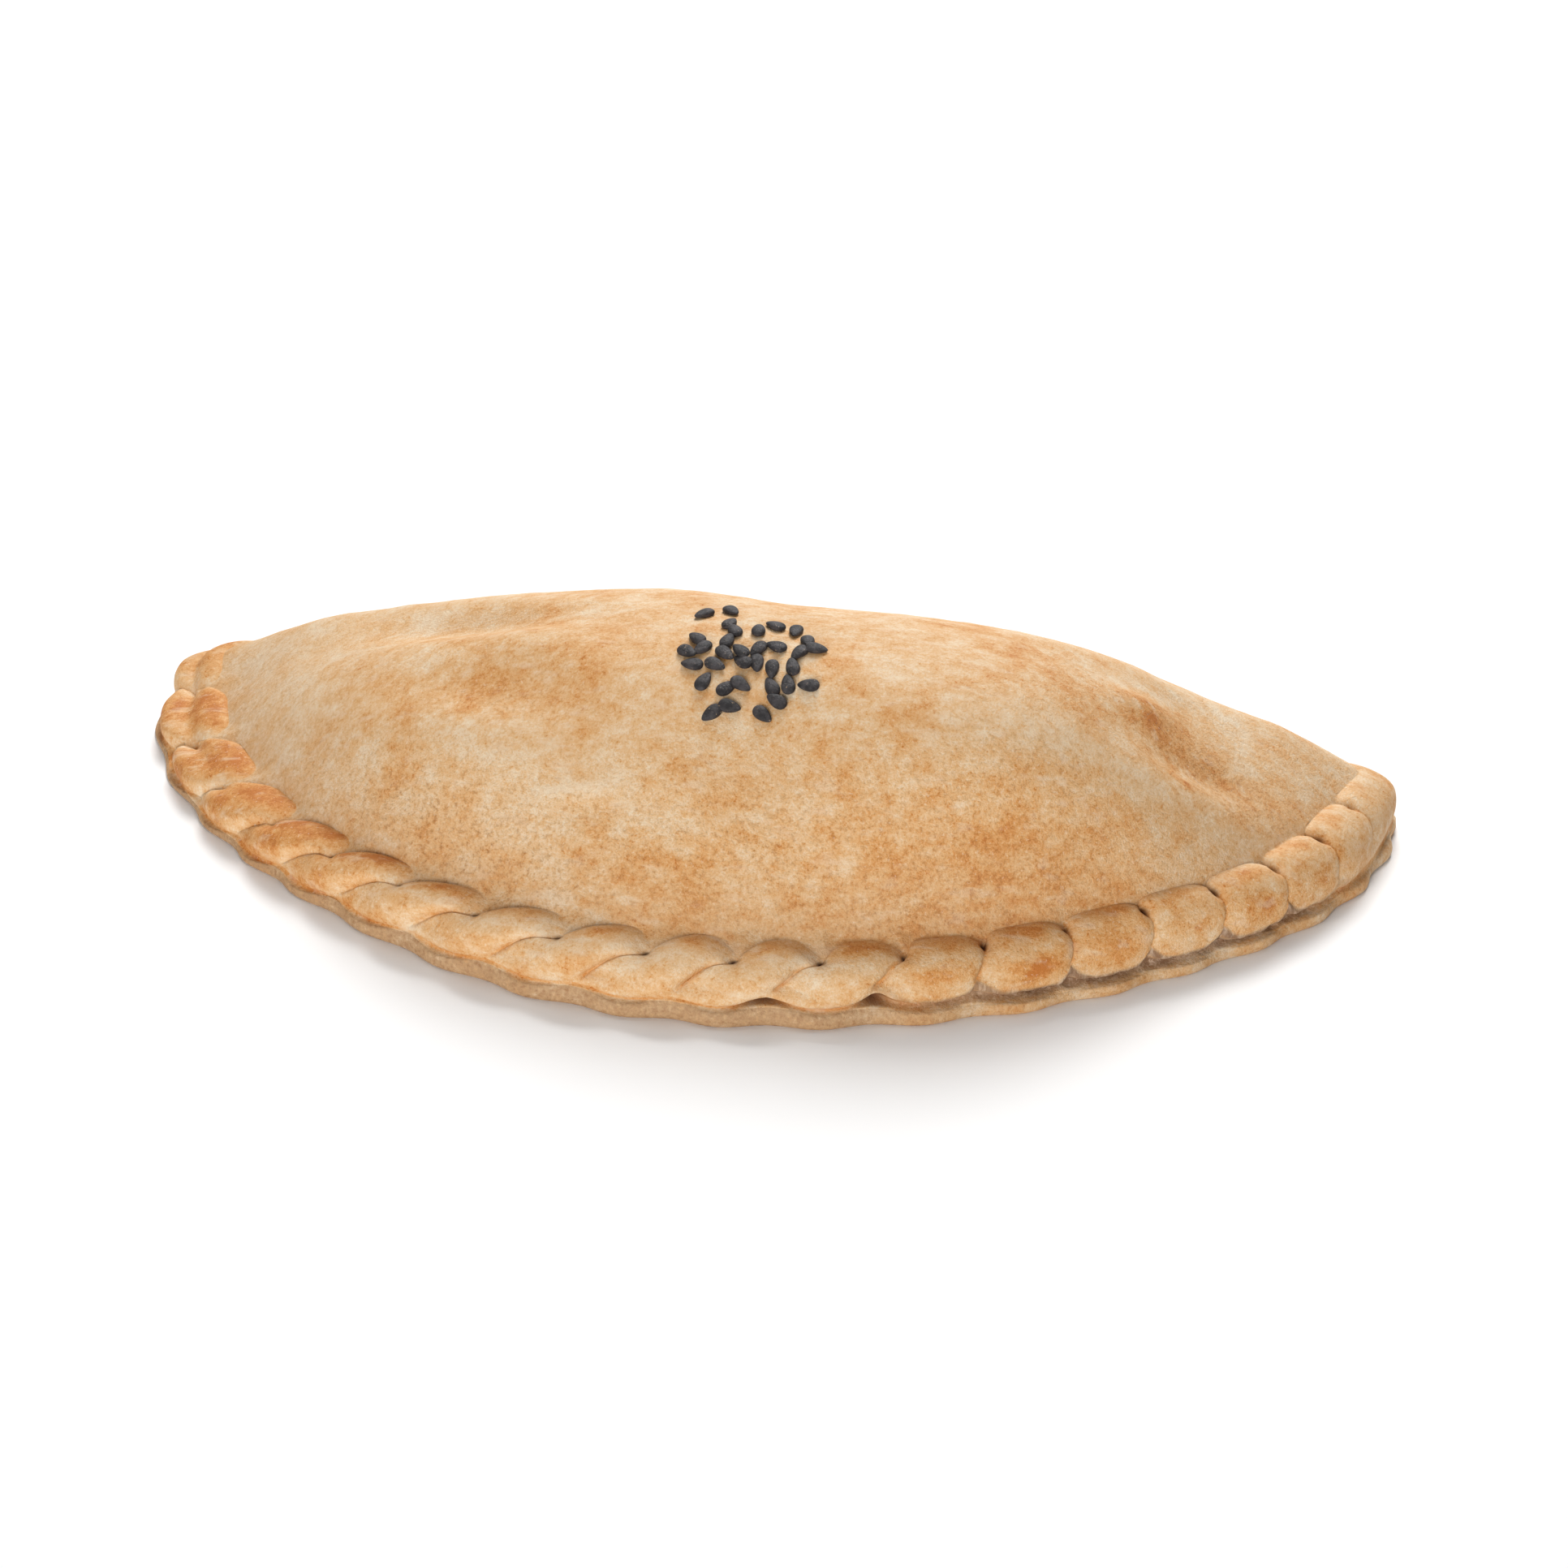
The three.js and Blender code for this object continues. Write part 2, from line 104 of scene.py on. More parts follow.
# Pleats: their width at the left and right tips, the number at the left tip and the range of numbers meshed
PLEAT_FIRST, PLEAT_LAST, PLEAT_START = 16.5, 10.15, -1.83
PLEAT_RANGE = (-2, 18)
PITCH_CHANGE = (PLEAT_LAST - PLEAT_FIRST) / FRONT_ARC
PITCH_SCALE = PLEAT_FIRST / PITCH_CHANGE
# Slant of the creases on the left, in the middle and on the right, and the lengths along the edge over which
# it changes from one to the next, starts at the left tip and ends past the right one
SLANT_LEFT, SLANT_MIDDLE, SLANT_RIGHT = 0.1, 0.7, 0.35
SLANT_GROWS, SLANT_EASES = (40, 95), (150, 205)
SLANT_STARTS, SLANT_ENDS = (-12, 20), (-5, 25)
# Section of a pleat: its roundness, and its skew at the head and over the rope, for uneven and even pleats
PLEAT_ROUND, PLEAT_SQUARE = 1.45, 2.6
HEAD_SKEW, BACK_SKEW, EVEN_SKEW = 0.88, 1.9, 1.1
SKEW_CHANGE = (0.1, 0.45)


def arc_of_pleat(pleat):
    """Length along the edge at a pleat number: the pitch changes evenly along the front, so this is an
    exponential of the number."""
    return PITCH_SCALE * (np.exp(PITCH_CHANGE * (pleat - PLEAT_START)) - 1)


def pleat_of_arc(arc):
    """The pleat number at a length along the edge, the inverse of arc_of_pleat."""
    return PLEAT_START + np.log(1 + arc / PITCH_SCALE) / PITCH_CHANGE


def signed_arc(arc):
    """Length along the edge, below 0 behind the left tip and past the front's length behind the right one."""
    once = np.mod(arc, AROUND)
    return np.where(once > (FRONT_ARC + AROUND) / 2, once - AROUND, once)


def slant_of_arc(signed):
    """Share of a pleat by which a crease leans as it crosses the rope, fading past both tips."""
    present = smooth(*SLANT_STARTS, signed) * fade(*SLANT_ENDS, signed - FRONT_ARC)
    slant = mix(SLANT_LEFT, SLANT_MIDDLE, smooth(*SLANT_GROWS, signed))
    return present * mix(slant, SLANT_RIGHT, smooth(*SLANT_EASES, signed))


def pleat_back(share, over, even):
    """Section of a pleat from crease to crease, 0 in the crease and 1 on its back: one minus a power of one
    minus the sine of a skewed share. Its head is a round arch, and further over the rope it rises slowly and
    drops at its right, less so where the pleats are even."""
    skew = mix(HEAD_SKEW, mix(BACK_SKEW, EVEN_SKEW, even), smooth(*SKEW_CHANGE, over))
    return 1 - (1 - np.sin(np.pi * share**skew)) ** mix(PLEAT_ROUND, PLEAT_SQUARE, even)


def near_crease(share, wide):
    """Bell of the distance to the nearer crease, as a share of a pleat."""
    return bell(np.minimum(share, 1 - share), wide)


# Filled dome: its top, the half axes of its contours and how far it bulges to the left, right, front, back
CROWN = (9.9, 0.5, 38.1)
OVAL_LEFT, OVAL_RIGHT, OVAL_FRONT, OVAL_BACK = 72.7, 60.8, 31.0, 31.5
BULGE_LEFT, BULGE_RIGHT, BULGE_FRONT, BULGE_BACK = 0.64, 1.05, -0.03, 0.38

# Stretches of the front over which the edge changes, as shares of its length from the left tip
CORNER = (0.0, 0.07)
SHALLOW_HEADS = (0.04, 0.2)
PRESSED_PADS = (0.09, 0.2)
LEFT_PADS = (0.1, 0.35)
LOW_LEFT = (0.14, 0.44)
OPENING = (0.58, 0.72)
PILLOWS = (0.66, 0.8)
BROAD_TIP = (0.82, 0.95)
CLOSING = (0.86, 0.94)
FLAT_TIP = (0.86, 0.96)
# Stretches around the tips, in millimetres past them
CRIMP_PAST_LEFT, CRIMP_PAST_RIGHT = 9, 24
RIGHT_TIP, DOME_TIPS = (-16, 12), (-30, 30)
# Short slots in the seam: share along the front and width
SLOTS = ((0.569, 0.013), (0.627, 0.008))

# Rope: how far inward its middle lies, its half width, the height of its middle and the rise above that, and
# the turn of its section where the dome meets it and where it ends underneath
ROPE_INWARD, ROPE_HALF, ROPE_HEIGHT, ROPE_RISE = 5.9, 5.5, 5.3, 4.0
ROPE_START_LEFT, ROPE_START, ROPE_START_RIGHT, ROPE_START_TIP = np.radians([53.0, 63.0, 78.0, 112.0])
ROPE_STOP = np.radians(200.0)
# Lower on the left, though not at the corner
LEFT_DROP, CORNER_LEVEL, CORNER_LIFT = 1.8, 0.8, 0.3
# Flat, broad pads on the left that slope outwards, a narrow corner and tall pillows on the right
PADS_FLATTER, PILLOWS_TALLER = 0.25, 0.28
PADS_BROADER, CORNER_NARROWER, TIP_BROADER = 0.3, 0.6, 0.15
PADS_LEAN, PADS_EVEN = 0.3, 0.8
# Pleats shallower at the corner, on the pillows and at the right tip, and puffed up on the pads,
# less so at the opening
CORNER_SHALLOWER, PILLOWS_SHALLOWER, TIP_SHALLOWER = 0.6, 0.4, 0.35
PADS_PUFF, OPENING_PUFF = 0.15, 0.06
# Notches between the heads and lines in the creases, and the press along the left pads
HEAD_REACH, CREASE_DEPTH, PRESS_DEPTH = 2.8, 0.4, 1.0
OPENING_FAINTER, LEFT_FAINTER = 0.7, 0.5
# Lip, gape and groove of the seam
LIP_THICKNESS, LIP_DROP, LIP_THINNER = 2.6, 0.9, 0.9
GAPE_LIFT, SEAM_GROOVE, SLOT_GROOVE = 1.5, 0.15, 1.4

# Fold at the back: its radius in the middle and at the tips, how it swells between them, and its turn
FOLD_MIDDLE, FOLD_LEFT, FOLD_RIGHT = 10.0, 4.6, 4.5
FOLD_SWELL, FOLD_POWER = (0, 0.7), 0.8
FOLD_TURN = (np.radians(140.0), np.radians(270.0))


class Edge:
    """The edge at an array of lengths along it: its plan point, the way to the crown, and the sizes of the
    rope, lip, seam and fold there, each a plain size changed by shares of the stretches above."""

    def __init__(self, arc):
        once = np.mod(arc, AROUND)
        self.x, self.y = np.interp(once, walked, walk_x), np.interp(once, walked, walk_y)
        to_crown_x, to_crown_y = CROWN[0] - self.x, CROWN[1] - self.y
        self.reach = np.hypot(to_crown_x, to_crown_y)
        self.in_x, self.in_y = to_crown_x / self.reach, to_crown_y / self.reach

        signed = signed_arc(arc)
        past_tip = np.maximum(-signed, signed - FRONT_ARC)
        self.crimp = fade(0, np.where(signed > 0, CRIMP_PAST_RIGHT, CRIMP_PAST_LEFT), past_tip)
        self.dome_crimp = fade(*DOME_TIPS, past_tip)
        self.along = np.clip(signed / FRONT_ARC, 0, 1)
        self.opening = smooth(*OPENING, self.along)
        self.slot = sum(bell(self.along - place, wide) for place, wide in SLOTS)
        corner = fade(*CORNER, self.along)
        pads = fade(*LEFT_PADS, self.along)
        pillows = smooth(*PILLOWS, self.along)
        right_tip = smooth(*RIGHT_TIP, signed - FRONT_ARC)
        left_heads = fade(*SHALLOW_HEADS, self.along)
        left_drop = LEFT_DROP * fade(*LOW_LEFT, self.along)

        start = mix(mix(ROPE_START, ROPE_START_LEFT, pads), ROPE_START_RIGHT, pillows)
        self.start = mix(start, ROPE_START_TIP, right_tip)
        self.drop = left_drop * (1 - CORNER_LEVEL * corner) - CORNER_LIFT * corner
        self.tall = 1 - PADS_FLATTER * pads + PILLOWS_TALLER * pillows * (1 - right_tip)
        broad_tip = TIP_BROADER * smooth(*BROAD_TIP, self.along)
        self.broad = 1 + PADS_BROADER * pads - CORNER_NARROWER * corner + broad_tip
        self.lean = PADS_LEAN * pads
        self.even = np.maximum(self.opening, PADS_EVEN * pads)

        relief = self.crimp * (1 - right_tip) * (1 - CORNER_SHALLOWER * corner)
        relief = relief * (1 - PILLOWS_SHALLOWER * pillows)
        self.relief = relief * (1 - TIP_SHALLOWER * smooth(*FLAT_TIP, self.along))
        self.puff = PADS_PUFF * pads - OPENING_PUFF * self.opening
        self.crease_depth = CREASE_DEPTH * (1 - OPENING_FAINTER * self.opening)
        self.notch = HEAD_REACH * (1 - OPENING_FAINTER * self.opening - LEFT_FAINTER * left_heads)
        self.pressing = PRESS_DEPTH * fade(*PRESSED_PADS, self.along)

        self.lip = LIP_THICKNESS - LIP_DROP * left_drop - LIP_THINNER * self.opening
        self.gape = GAPE_LIFT * self.opening * fade(*CLOSING, self.along)
        self.groove = SEAM_GROOVE * (1 - right_tip) + SLOT_GROOVE * self.slot
        at_middle = np.clip(1 - np.abs(self.x - TIP_LINE[0]) / HALF_LENGTH, 0, 1)
        tip_fold = np.where(self.x < TIP_LINE[0], FOLD_LEFT, FOLD_RIGHT)
        self.fold = mix(tip_fold, FOLD_MIDDLE, smooth(*FOLD_SWELL, at_middle) ** FOLD_POWER)


# Section of the rope, by shares of the way over it: the depth of the creases at the heads, over the top and
# everywhere, how much it varies from pleat to pleat, and where the heads end, the top ends and the edge lifts
HEAD_DEPTH, TOP_DEPTH, LEAST_DEPTH = 0.2, 0.2, 0.05
PLEAT_VARIES, PLEAT_TURN = 0.1, 12.9898
HEADS_END, TOP_ENDS, EDGE_LIFTS, LEAN_ENDS = (0.12, 0.6), (0.8, 1), (0.62, 1), (0.5, 0.9)
CREASE_WIDE, CREASE_STARTS, CREASE_ENDS = 0.035, (0.1, 0.25), (0.85, 1)
PRESS_AT, PRESS_WIDE = 0.42, 0.12
# Outer edge: how far it sags and waves over the closed seam, and is lifted and drawn in at the slots and gape
SEAM_SAG, SEAM_WAVE, SLOT_LIFT, LIFT_INWARD = 0.8, 0.35, 0.9, 0.1


def seam_wave(edge, share):
    """Rise of the closed seam at each crease and fall between them: a cosine of the share of a pleat."""
    return SEAM_WAVE * np.cos(2 * np.pi * share) * (1 - edge.opening)


def crease_line(share, over, wide, starts):
    """Line along each crease from its start over the rope to the outer edge: the bell near the crease times a
    smooth rise and fall over the rope."""
    return near_crease(share, wide) * smooth(*starts, over) * fade(*CREASE_ENDS, over)


def rope(edge, over, share, pleat):
    """The rope at a share of the way over it: an oval section turned from the dome side over the top and
    under, shrunk in the creases and notched between the heads, pressed along its middle at the left tip and
    with its outer edge lifted where the seam gapes. Returns inward and height."""
    turn = mix(edge.start, ROPE_STOP, over)
    back = pleat_back(share, over, edge.even)
    heads = fade(*HEADS_END, over)
    depth = (HEAD_DEPTH * heads + TOP_DEPTH * fade(*TOP_ENDS, over) + LEAST_DEPTH + edge.puff) * edge.relief
    size = 1 - depth + depth * back * (1 + PLEAT_VARIES * np.sin(PLEAT_TURN * pleat))
    lifted = edge.gape * (1 - back) + SLOT_LIFT * edge.slot - SEAM_SAG
    lift = (lifted + seam_wave(edge, share)) * smooth(*EDGE_LIFTS, over)
    pressed = edge.pressing * bell(over - PRESS_AT, PRESS_WIDE)
    line = edge.crease_depth * crease_line(share, over, CREASE_WIDE, CREASE_STARTS)
    sunk = edge.relief * line + pressed
    notch = edge.notch * edge.relief * heads * (1 - back)
    upright = np.where(np.sin(turn) > 0, size, 1)
    inward = edge.broad * (ROPE_INWARD + ROPE_HALF * np.cos(turn) * size - notch) + LIFT_INWARD * lift
    leaning = edge.lean * ROPE_HALF * np.cos(turn) * fade(*LEAN_ENDS, over)
    height = ROPE_HEIGHT - edge.drop + edge.tall * ROPE_RISE * np.sin(turn) * upright + leaning + lift
    return inward - sunk * np.minimum(np.cos(turn), 0), height - sunk * np.maximum(np.sin(turn), 0)


def fold_round(edge, turn):
    """The fold at a turn of its round section, which touches the outline and the table: the radius times one
    plus the cosine, and times one plus the sine. Returns inward and height."""
    return edge.fold * (1 + np.cos(turn)), edge.fold * (1 + np.sin(turn))


def dome_foot(edge):
    """Where the smooth dome ends: on the rope's inner side in front and on the fold behind, with a slow
    change between them. Returns the distance from the crown and the height."""
    across = ROPE_HALF * np.cos(edge.start)
    rope_inward = edge.broad * (ROPE_INWARD + across)
    rope_top = edge.tall * ROPE_RISE * np.sin(edge.start)
    rope_height = ROPE_HEIGHT - edge.drop + rope_top + edge.lean * across
    fold_inward, fold_height = fold_round(edge, FOLD_TURN[0])
    inward = mix(fold_inward, rope_inward, edge.dome_crimp)
    return edge.reach - inward, mix(fold_height, rope_height, edge.dome_crimp)


def dome(edge, share):
    """Distance from the crown and height at a share s of the way down the dome: contours are ovals near the
    crown and take the edge's shape with s^2, and the height is (1 - s^2)(1 + bulge s^2) of the rise."""
    foot_distance, foot_height = dome_foot(edge)
    half_x = np.where(edge.in_x > 0, OVAL_LEFT, OVAL_RIGHT)
    half_y = np.where(edge.in_y > 0, OVAL_FRONT, OVAL_BACK)
    oval = 1 / np.hypot(edge.in_x / half_x, edge.in_y / half_y)
    sideways = np.where(edge.in_x > 0, BULGE_LEFT, BULGE_RIGHT) - BULGE_FRONT
    bulge = BULGE_FRONT + sideways * edge.in_x**2
    bulge = bulge + (BULGE_BACK - BULGE_FRONT) * np.maximum(-edge.in_y, 0) ** 2
    squared = share**2
    height = foot_height + (CROWN[2] - foot_height) * (1 - squared) * (1 + bulge * squared)
    return share * mix(oval, foot_distance, squared), height


# Columns run from the crown to the underside: over each pleat in front, closer together at the creases by the
# crowding, then evenly along the fold
STEPS_PER_PLEAT, FOLD_STEPS, CROWDING = 28, 100, 0.75
steps = np.arange(PLEAT_RANGE[0] * STEPS_PER_PLEAT, PLEAT_RANGE[1] * STEPS_PER_PLEAT + 1)
even_pleats = steps / STEPS_PER_PLEAT
front_pleats = even_pleats - CROWDING * np.sin(2 * np.pi * even_pleats) / (2 * np.pi)
front_arcs = arc_of_pleat(front_pleats)
fold_arcs = np.linspace(front_arcs[-1], AROUND + front_arcs[0], FOLD_STEPS + 1)[1:-1]
arcs = np.concatenate([front_arcs, fold_arcs])[:, None]
pleats = np.concatenate([front_pleats, pleat_of_arc(signed_arc(fold_arcs))])[:, None]
shares, pleat_numbers = np.mod(pleats, 1), np.floor(pleats)

# Rows over the rope, down the groove and round the lip; a column leans along the edge as it crosses the rope
ROPE_ROWS, GROOVE_ROWS, LIP_ROWS = 46, 10, 8
GAPE_HOLLOW = 1.1
LIP_ROUND, LIP_POWER, LIP_SCALLOP = 0.7, 0.7, 0.5
edge_rows = ROPE_ROWS + GROOVE_ROWS + LIP_ROWS
over = np.minimum(np.arange(edge_rows) / (ROPE_ROWS - 1), 1)[None, :]
slant = slant_of_arc(signed_arc(arcs))
edge = Edge(np.where(slant > 0, arc_of_pleat(pleats - slant * over), arcs))
inward, height = rope(edge, over, shares, pleat_numbers)

groove = slice(ROPE_ROWS, ROPE_ROWS + GROOVE_ROWS)
down = (np.arange(1, GROOVE_ROWS + 1) / GROOVE_ROWS)[None, :]
hollow = (edge.groove + GAPE_HOLLOW * edge.gape)[:, groove] * np.sin(np.pi * down)
inward[:, groove] = mix(inward[:, groove], LIP_ROUND, down) + hollow
lip_top = edge.lip + seam_wave(edge, shares)
height[:, groove] = mix(height[:, groove], lip_top[:, groove], down)

lip = slice(ROPE_ROWS + GROOVE_ROWS, edge_rows)
round_lip = np.arange(1, LIP_ROWS + 1) / LIP_ROWS
lip_turn = (np.pi * round_lip)[None, :]
scallops = LIP_SCALLOP * np.cos(2 * np.pi * shares)
inward[:, lip] = LIP_ROUND * (1 - np.sin(lip_turn) ** LIP_POWER) + scallops
height[:, lip] = lip_top[:, lip] / 2 * (1 + np.cos(lip_turn))

fold_inward, fold_height = fold_round(edge, np.linspace(*FOLD_TURN, edge_rows)[None, :])
inward = mix(fold_inward, inward, edge.crimp)
height = mix(fold_height, height, edge.crimp)
edge_points = np.stack([edge.x + edge.in_x * inward, edge.y + edge.in_y * inward, height], axis=-1)

# Rows down the dome to a line behind the heads, then along a ledge that runs into the notches between them.
# The dome follows the heads' height and place over its last part, over a longer one near the tips
DOME_ROWS, LEDGE_ROWS, DOME_END = 76, 8, 0.975
FOLLOW_FROM, FOLLOW_FROM_TIPS = 0.92, 0.7
# Shallow hollows, or swellings where the depth is below 0: place, half lengths along and across, turn in
# degrees, depth. They fade out at the dome's foot with a high power of the share down it
HOLLOWS = (
    (-29.0, -7.0, 16.0, 4.8, -20.0, 3.0),
    (-37.0, 11.0, 18.0, 5.5, -20.0, 3.0),
    (67.0, 17.0, 13.0, 14.0, 0.0, 4.6),
    (66.0, 9.5, 13.0, 3.6, 32.0, 2.4),
    (57.3, 12.4, 4.5, 2.6, 46.0, -1.2),
    (-12.5, -22.6, 5.0, 0.9, 2.0, 0.45),
    (-12.0, -21.0, 5.0, 1.0, 2.0, -0.35),
)
HOLLOW_FADE = 8


def turned_bells(x, y, spots):
    """Sum over spots of a height times a turned bell, longer one way than the other, at plan points."""
    total = np.zeros_like(x)
    for at_x, at_y, half_along, half_across, turn, height in spots:
        cos, sin = np.cos(np.radians(turn)), np.sin(np.radians(turn))
        along = (x - at_x) * cos + (y - at_y) * sin
        across = (y - at_y) * cos - (x - at_x) * sin
        total += height * bell(along, half_along) * bell(across, half_across)
    return total


def bent(first, middle, last, share):
    """Curve from a first point to a last one, drawn towards a middle one: the points weighted by (1 - s)^2,
    2 s (1 - s) and s^2 of the share s."""
    return (1 - share) ** 2 * first + 2 * share * (1 - share) * middle + share**2 * last


straight = Edge(arcs)
head_inward, head_height = rope(straight, over=0.0, share=0.5, pleat=0)
fold_inward, fold_height = fold_round(straight, FOLD_TURN[0])
brow_inward = mix(fold_inward, head_inward, straight.crimp)
brow_height = mix(fold_height, head_height, straight.crimp)
out = np.linspace(0, DOME_END, DOME_ROWS + 1)[None, 1:]
distance, height = dome(straight, out)
foot_distance, foot_height = dome_foot(straight)
near_tips = np.abs(straight.crimp - straight.dome_crimp)
follow = smooth(mix(FOLLOW_FROM, FOLLOW_FROM_TIPS, near_tips), 1, out)
distance = distance + (straight.reach - brow_inward - foot_distance) * follow
height = height + (brow_height - foot_height) * follow
dome_x, dome_y = CROWN[0] - straight.in_x * distance, CROWN[1] - straight.in_y * distance
height = height - turned_bells(dome_x, dome_y, HOLLOWS) * (1 - out**HOLLOW_FADE)
dome_points = np.stack([dome_x, dome_y, height], axis=-1)
brow_x, brow_y = straight.x + straight.in_x * brow_inward, straight.y + straight.in_y * brow_inward
brow = np.stack([brow_x, brow_y, brow_height], axis=-1)
onto = (np.arange(1, LEDGE_ROWS + 1) / (LEDGE_ROWS + 1))[None, :, None]
ledge_points = bent(dome_points[:, -1:], brow, edge_points[:, :1], onto)

smooth_grid = np.concatenate([dome_points, ledge_points, edge_points], axis=1)
crust_low, crust_high = smooth_grid.min(axis=(0, 1)), smooth_grid.max(axis=(0, 1))
ORIGIN = np.array([*(crust_low[:2] + crust_high[:2]) / 2, 0])

# Draws that are the same in every run: how far a number, a kind and a layout turn the sine, and its height
NUMBER_TURN, KIND_TURN, LAYOUT_TURN, DRAW_HEIGHT = 12.9898, 78.233, 37.719, 43758.5453


def scatter_value(number, kind, layout=0):
    """A value from 0 to 1 for a number, a kind and a layout: the fraction of a large sine."""
    wild = np.sin(number * NUMBER_TURN + kind * KIND_TURN + layout * LAYOUT_TURN) * DRAW_HEIGHT
    return wild - np.floor(wild)


# Pits at the inner ends of the creases, further over the rope near the right tip, fainter on the left and
# some of them spared where the seam gapes
PIT_DEPTH, PIT_HALF, PIT_DRAW = 1.3, 0.9, 8
PIT_OVER, PIT_OVER_RIGHT, PIT_MOVES = 0.1, 0.25, (0.65, 0.85)
PIT_LEFT, PIT_GROWS, PIT_SPARED = 0.3, (0.15, 0.4), 0.7
pit_pleats = np.arange(PLEAT_RANGE[0] + 1, PLEAT_RANGE[1])
pit_arcs = arc_of_pleat(pit_pleats)
pit_over = mix(PIT_OVER, PIT_OVER_RIGHT, smooth(*PIT_MOVES, pit_arcs / FRONT_ARC))
pit_edge = Edge(arc_of_pleat(pit_pleats - slant_of_arc(pit_arcs) * pit_over))
pit_inward, pit_height = rope(pit_edge, pit_over, share=0.0, pleat=pit_pleats)
pit_x, pit_y = pit_edge.x + pit_edge.in_x * pit_inward, pit_edge.y + pit_edge.in_y * pit_inward
pit_places = np.stack([pit_x, pit_y, pit_height], axis=-1)
pit_strength = mix(PIT_LEFT, 1, smooth(*PIT_GROWS, pit_edge.along))
pit_strength = pit_strength * (1 - PIT_SPARED * pit_edge.opening * scatter_value(pit_pleats, PIT_DRAW))
to_pits = np.linalg.norm(smooth_grid[:, :, None] - pit_places, axis=-1)
pits = (bell(to_pits, PIT_HALF) * pit_strength).max(axis=-1)

# Browning of the rope: a spot on each pleat's head and one on its lower front, by place and width over the
# rope, place and width across the pleat, least strength and draw. Both are browner on the right
HEAD_SPOTS = (0.22, 0.14, 0.52, 0.26, 0.5, 7)
FRONT_SPOTS = (0.72, 0.15, 0.55, 0.28, 0.4, 4)
HEADS_BROWN, FRONTS_BROWN, BROWNER_RIGHT = (1.4, 1.6), (0.3, 1.8), (0.58, 0.7)
# The left pads are brown all over but for their rims, the creases have a fine line of painted shade, and
# the groove of the closed seam is painted shade
PADS_BROWN, BROWN_PADS, PAD_RIM = 1.15, (0.2, 0.42), 0.12
CREASE_SHADE, SHADE_LINE_WIDE, SHADE_LINE_STARTS, SEAM_GROOVE_SHADE = 0.6, 0.025, (0.1, 0.2), 0.8


def pleat_spots(over_at, over_wide, share_at, share_wide, least, kind):
    """A spot on each pleat: a bell over the rope times a bell across the pleat, of a drawn strength."""
    strength = mix(least, 1.0, scatter_value(pleat_numbers, kind))
    return bell(over - over_at, over_wide) * bell(shares - share_at, share_wide) * strength


on_right = smooth(*BROWNER_RIGHT, edge.along)
head_browning = mix(*HEADS_BROWN, on_right) * pleat_spots(*HEAD_SPOTS) * edge.relief
front_browning = pleat_spots(*FRONT_SPOTS) * mix(*FRONTS_BROWN, on_right) * edge.relief
pad_faces = fade(*BROWN_PADS, edge.along) * edge.relief * (1 - near_crease(shares, PAD_RIM))
crease_shade_lines = crease_line(shares, over, SHADE_LINE_WIDE, SHADE_LINE_STARTS) * edge.crimp
rope_browning_and_shade = head_browning + front_browning + PADS_BROWN * pad_faces + CREASE_SHADE * crease_shade_lines

# Raw dough where the seam gapes: the rope's outer edge, further up it in the creases, the groove and the
# top of the lip
RAW_EDGE, RAW_UP_CREASES, RAW_LIP = (0.94, 1.0), 0.08, (0, 0.2)
crease = (1 - pleat_back(shares, over, edge.even)) * edge.crimp
on_rope = np.arange(edge_rows)[None, :] < ROPE_ROWS
in_groove = np.zeros(edge_rows)
in_groove[groove] = np.sqrt(np.sin(np.pi * down[0]))
gaping = edge.gape / GAPE_LIFT
raw_edge = np.where(on_rope, smooth(*RAW_EDGE, over + RAW_UP_CREASES * crease), 0)
raw_lip = np.zeros(edge_rows)
raw_lip[lip] = fade(*RAW_LIP, round_lip)
raw_seam = gaping * np.maximum(raw_edge, np.maximum(in_groove, raw_lip)[None, :])
# Painted shade in the groove under the rope, where the seam is closed
closed_groove_shade = (1 - gaping) * in_groove[None, :] * edge.crimp

# Flour strands on the middle of the rope, also paling the heads' shaded tops as painted light, by place and
# width over it and along the front; painted shade on the dome's foot behind the heads and on the lip,
# less so where the seam gapes
MIDDLE_FLOUR_AND_LIGHT, STRANDS_OVER, STRANDS_ALONG = 0.5, (0.35, 0.4), (0.5, 0.16)
FOOT_SHADE_STRENGTH, FOOT_SHADE_RANGE = 0.25, (0.8, 1)
LIP_SHADE_STRENGTH, GAPING_LESS_SHADE = 0.95, 0.8
strands_and_lit_heads = bell(over - STRANDS_OVER[0], STRANDS_OVER[1])
strands_and_lit_heads = strands_and_lit_heads * bell(edge.along - STRANDS_ALONG[0], STRANDS_ALONG[1]) * edge.relief
down_dome = np.append(out, np.ones((1, LEDGE_ROWS)), axis=1)
on_lip = np.zeros(edge_rows)
on_lip[lip] = 1
foot_shade = FOOT_SHADE_STRENGTH * smooth(*FOOT_SHADE_RANGE, down_dome) * straight.relief
lip_shade = LIP_SHADE_STRENGTH * on_lip * edge.crimp * (1 - GAPING_LESS_SHADE * edge.opening)

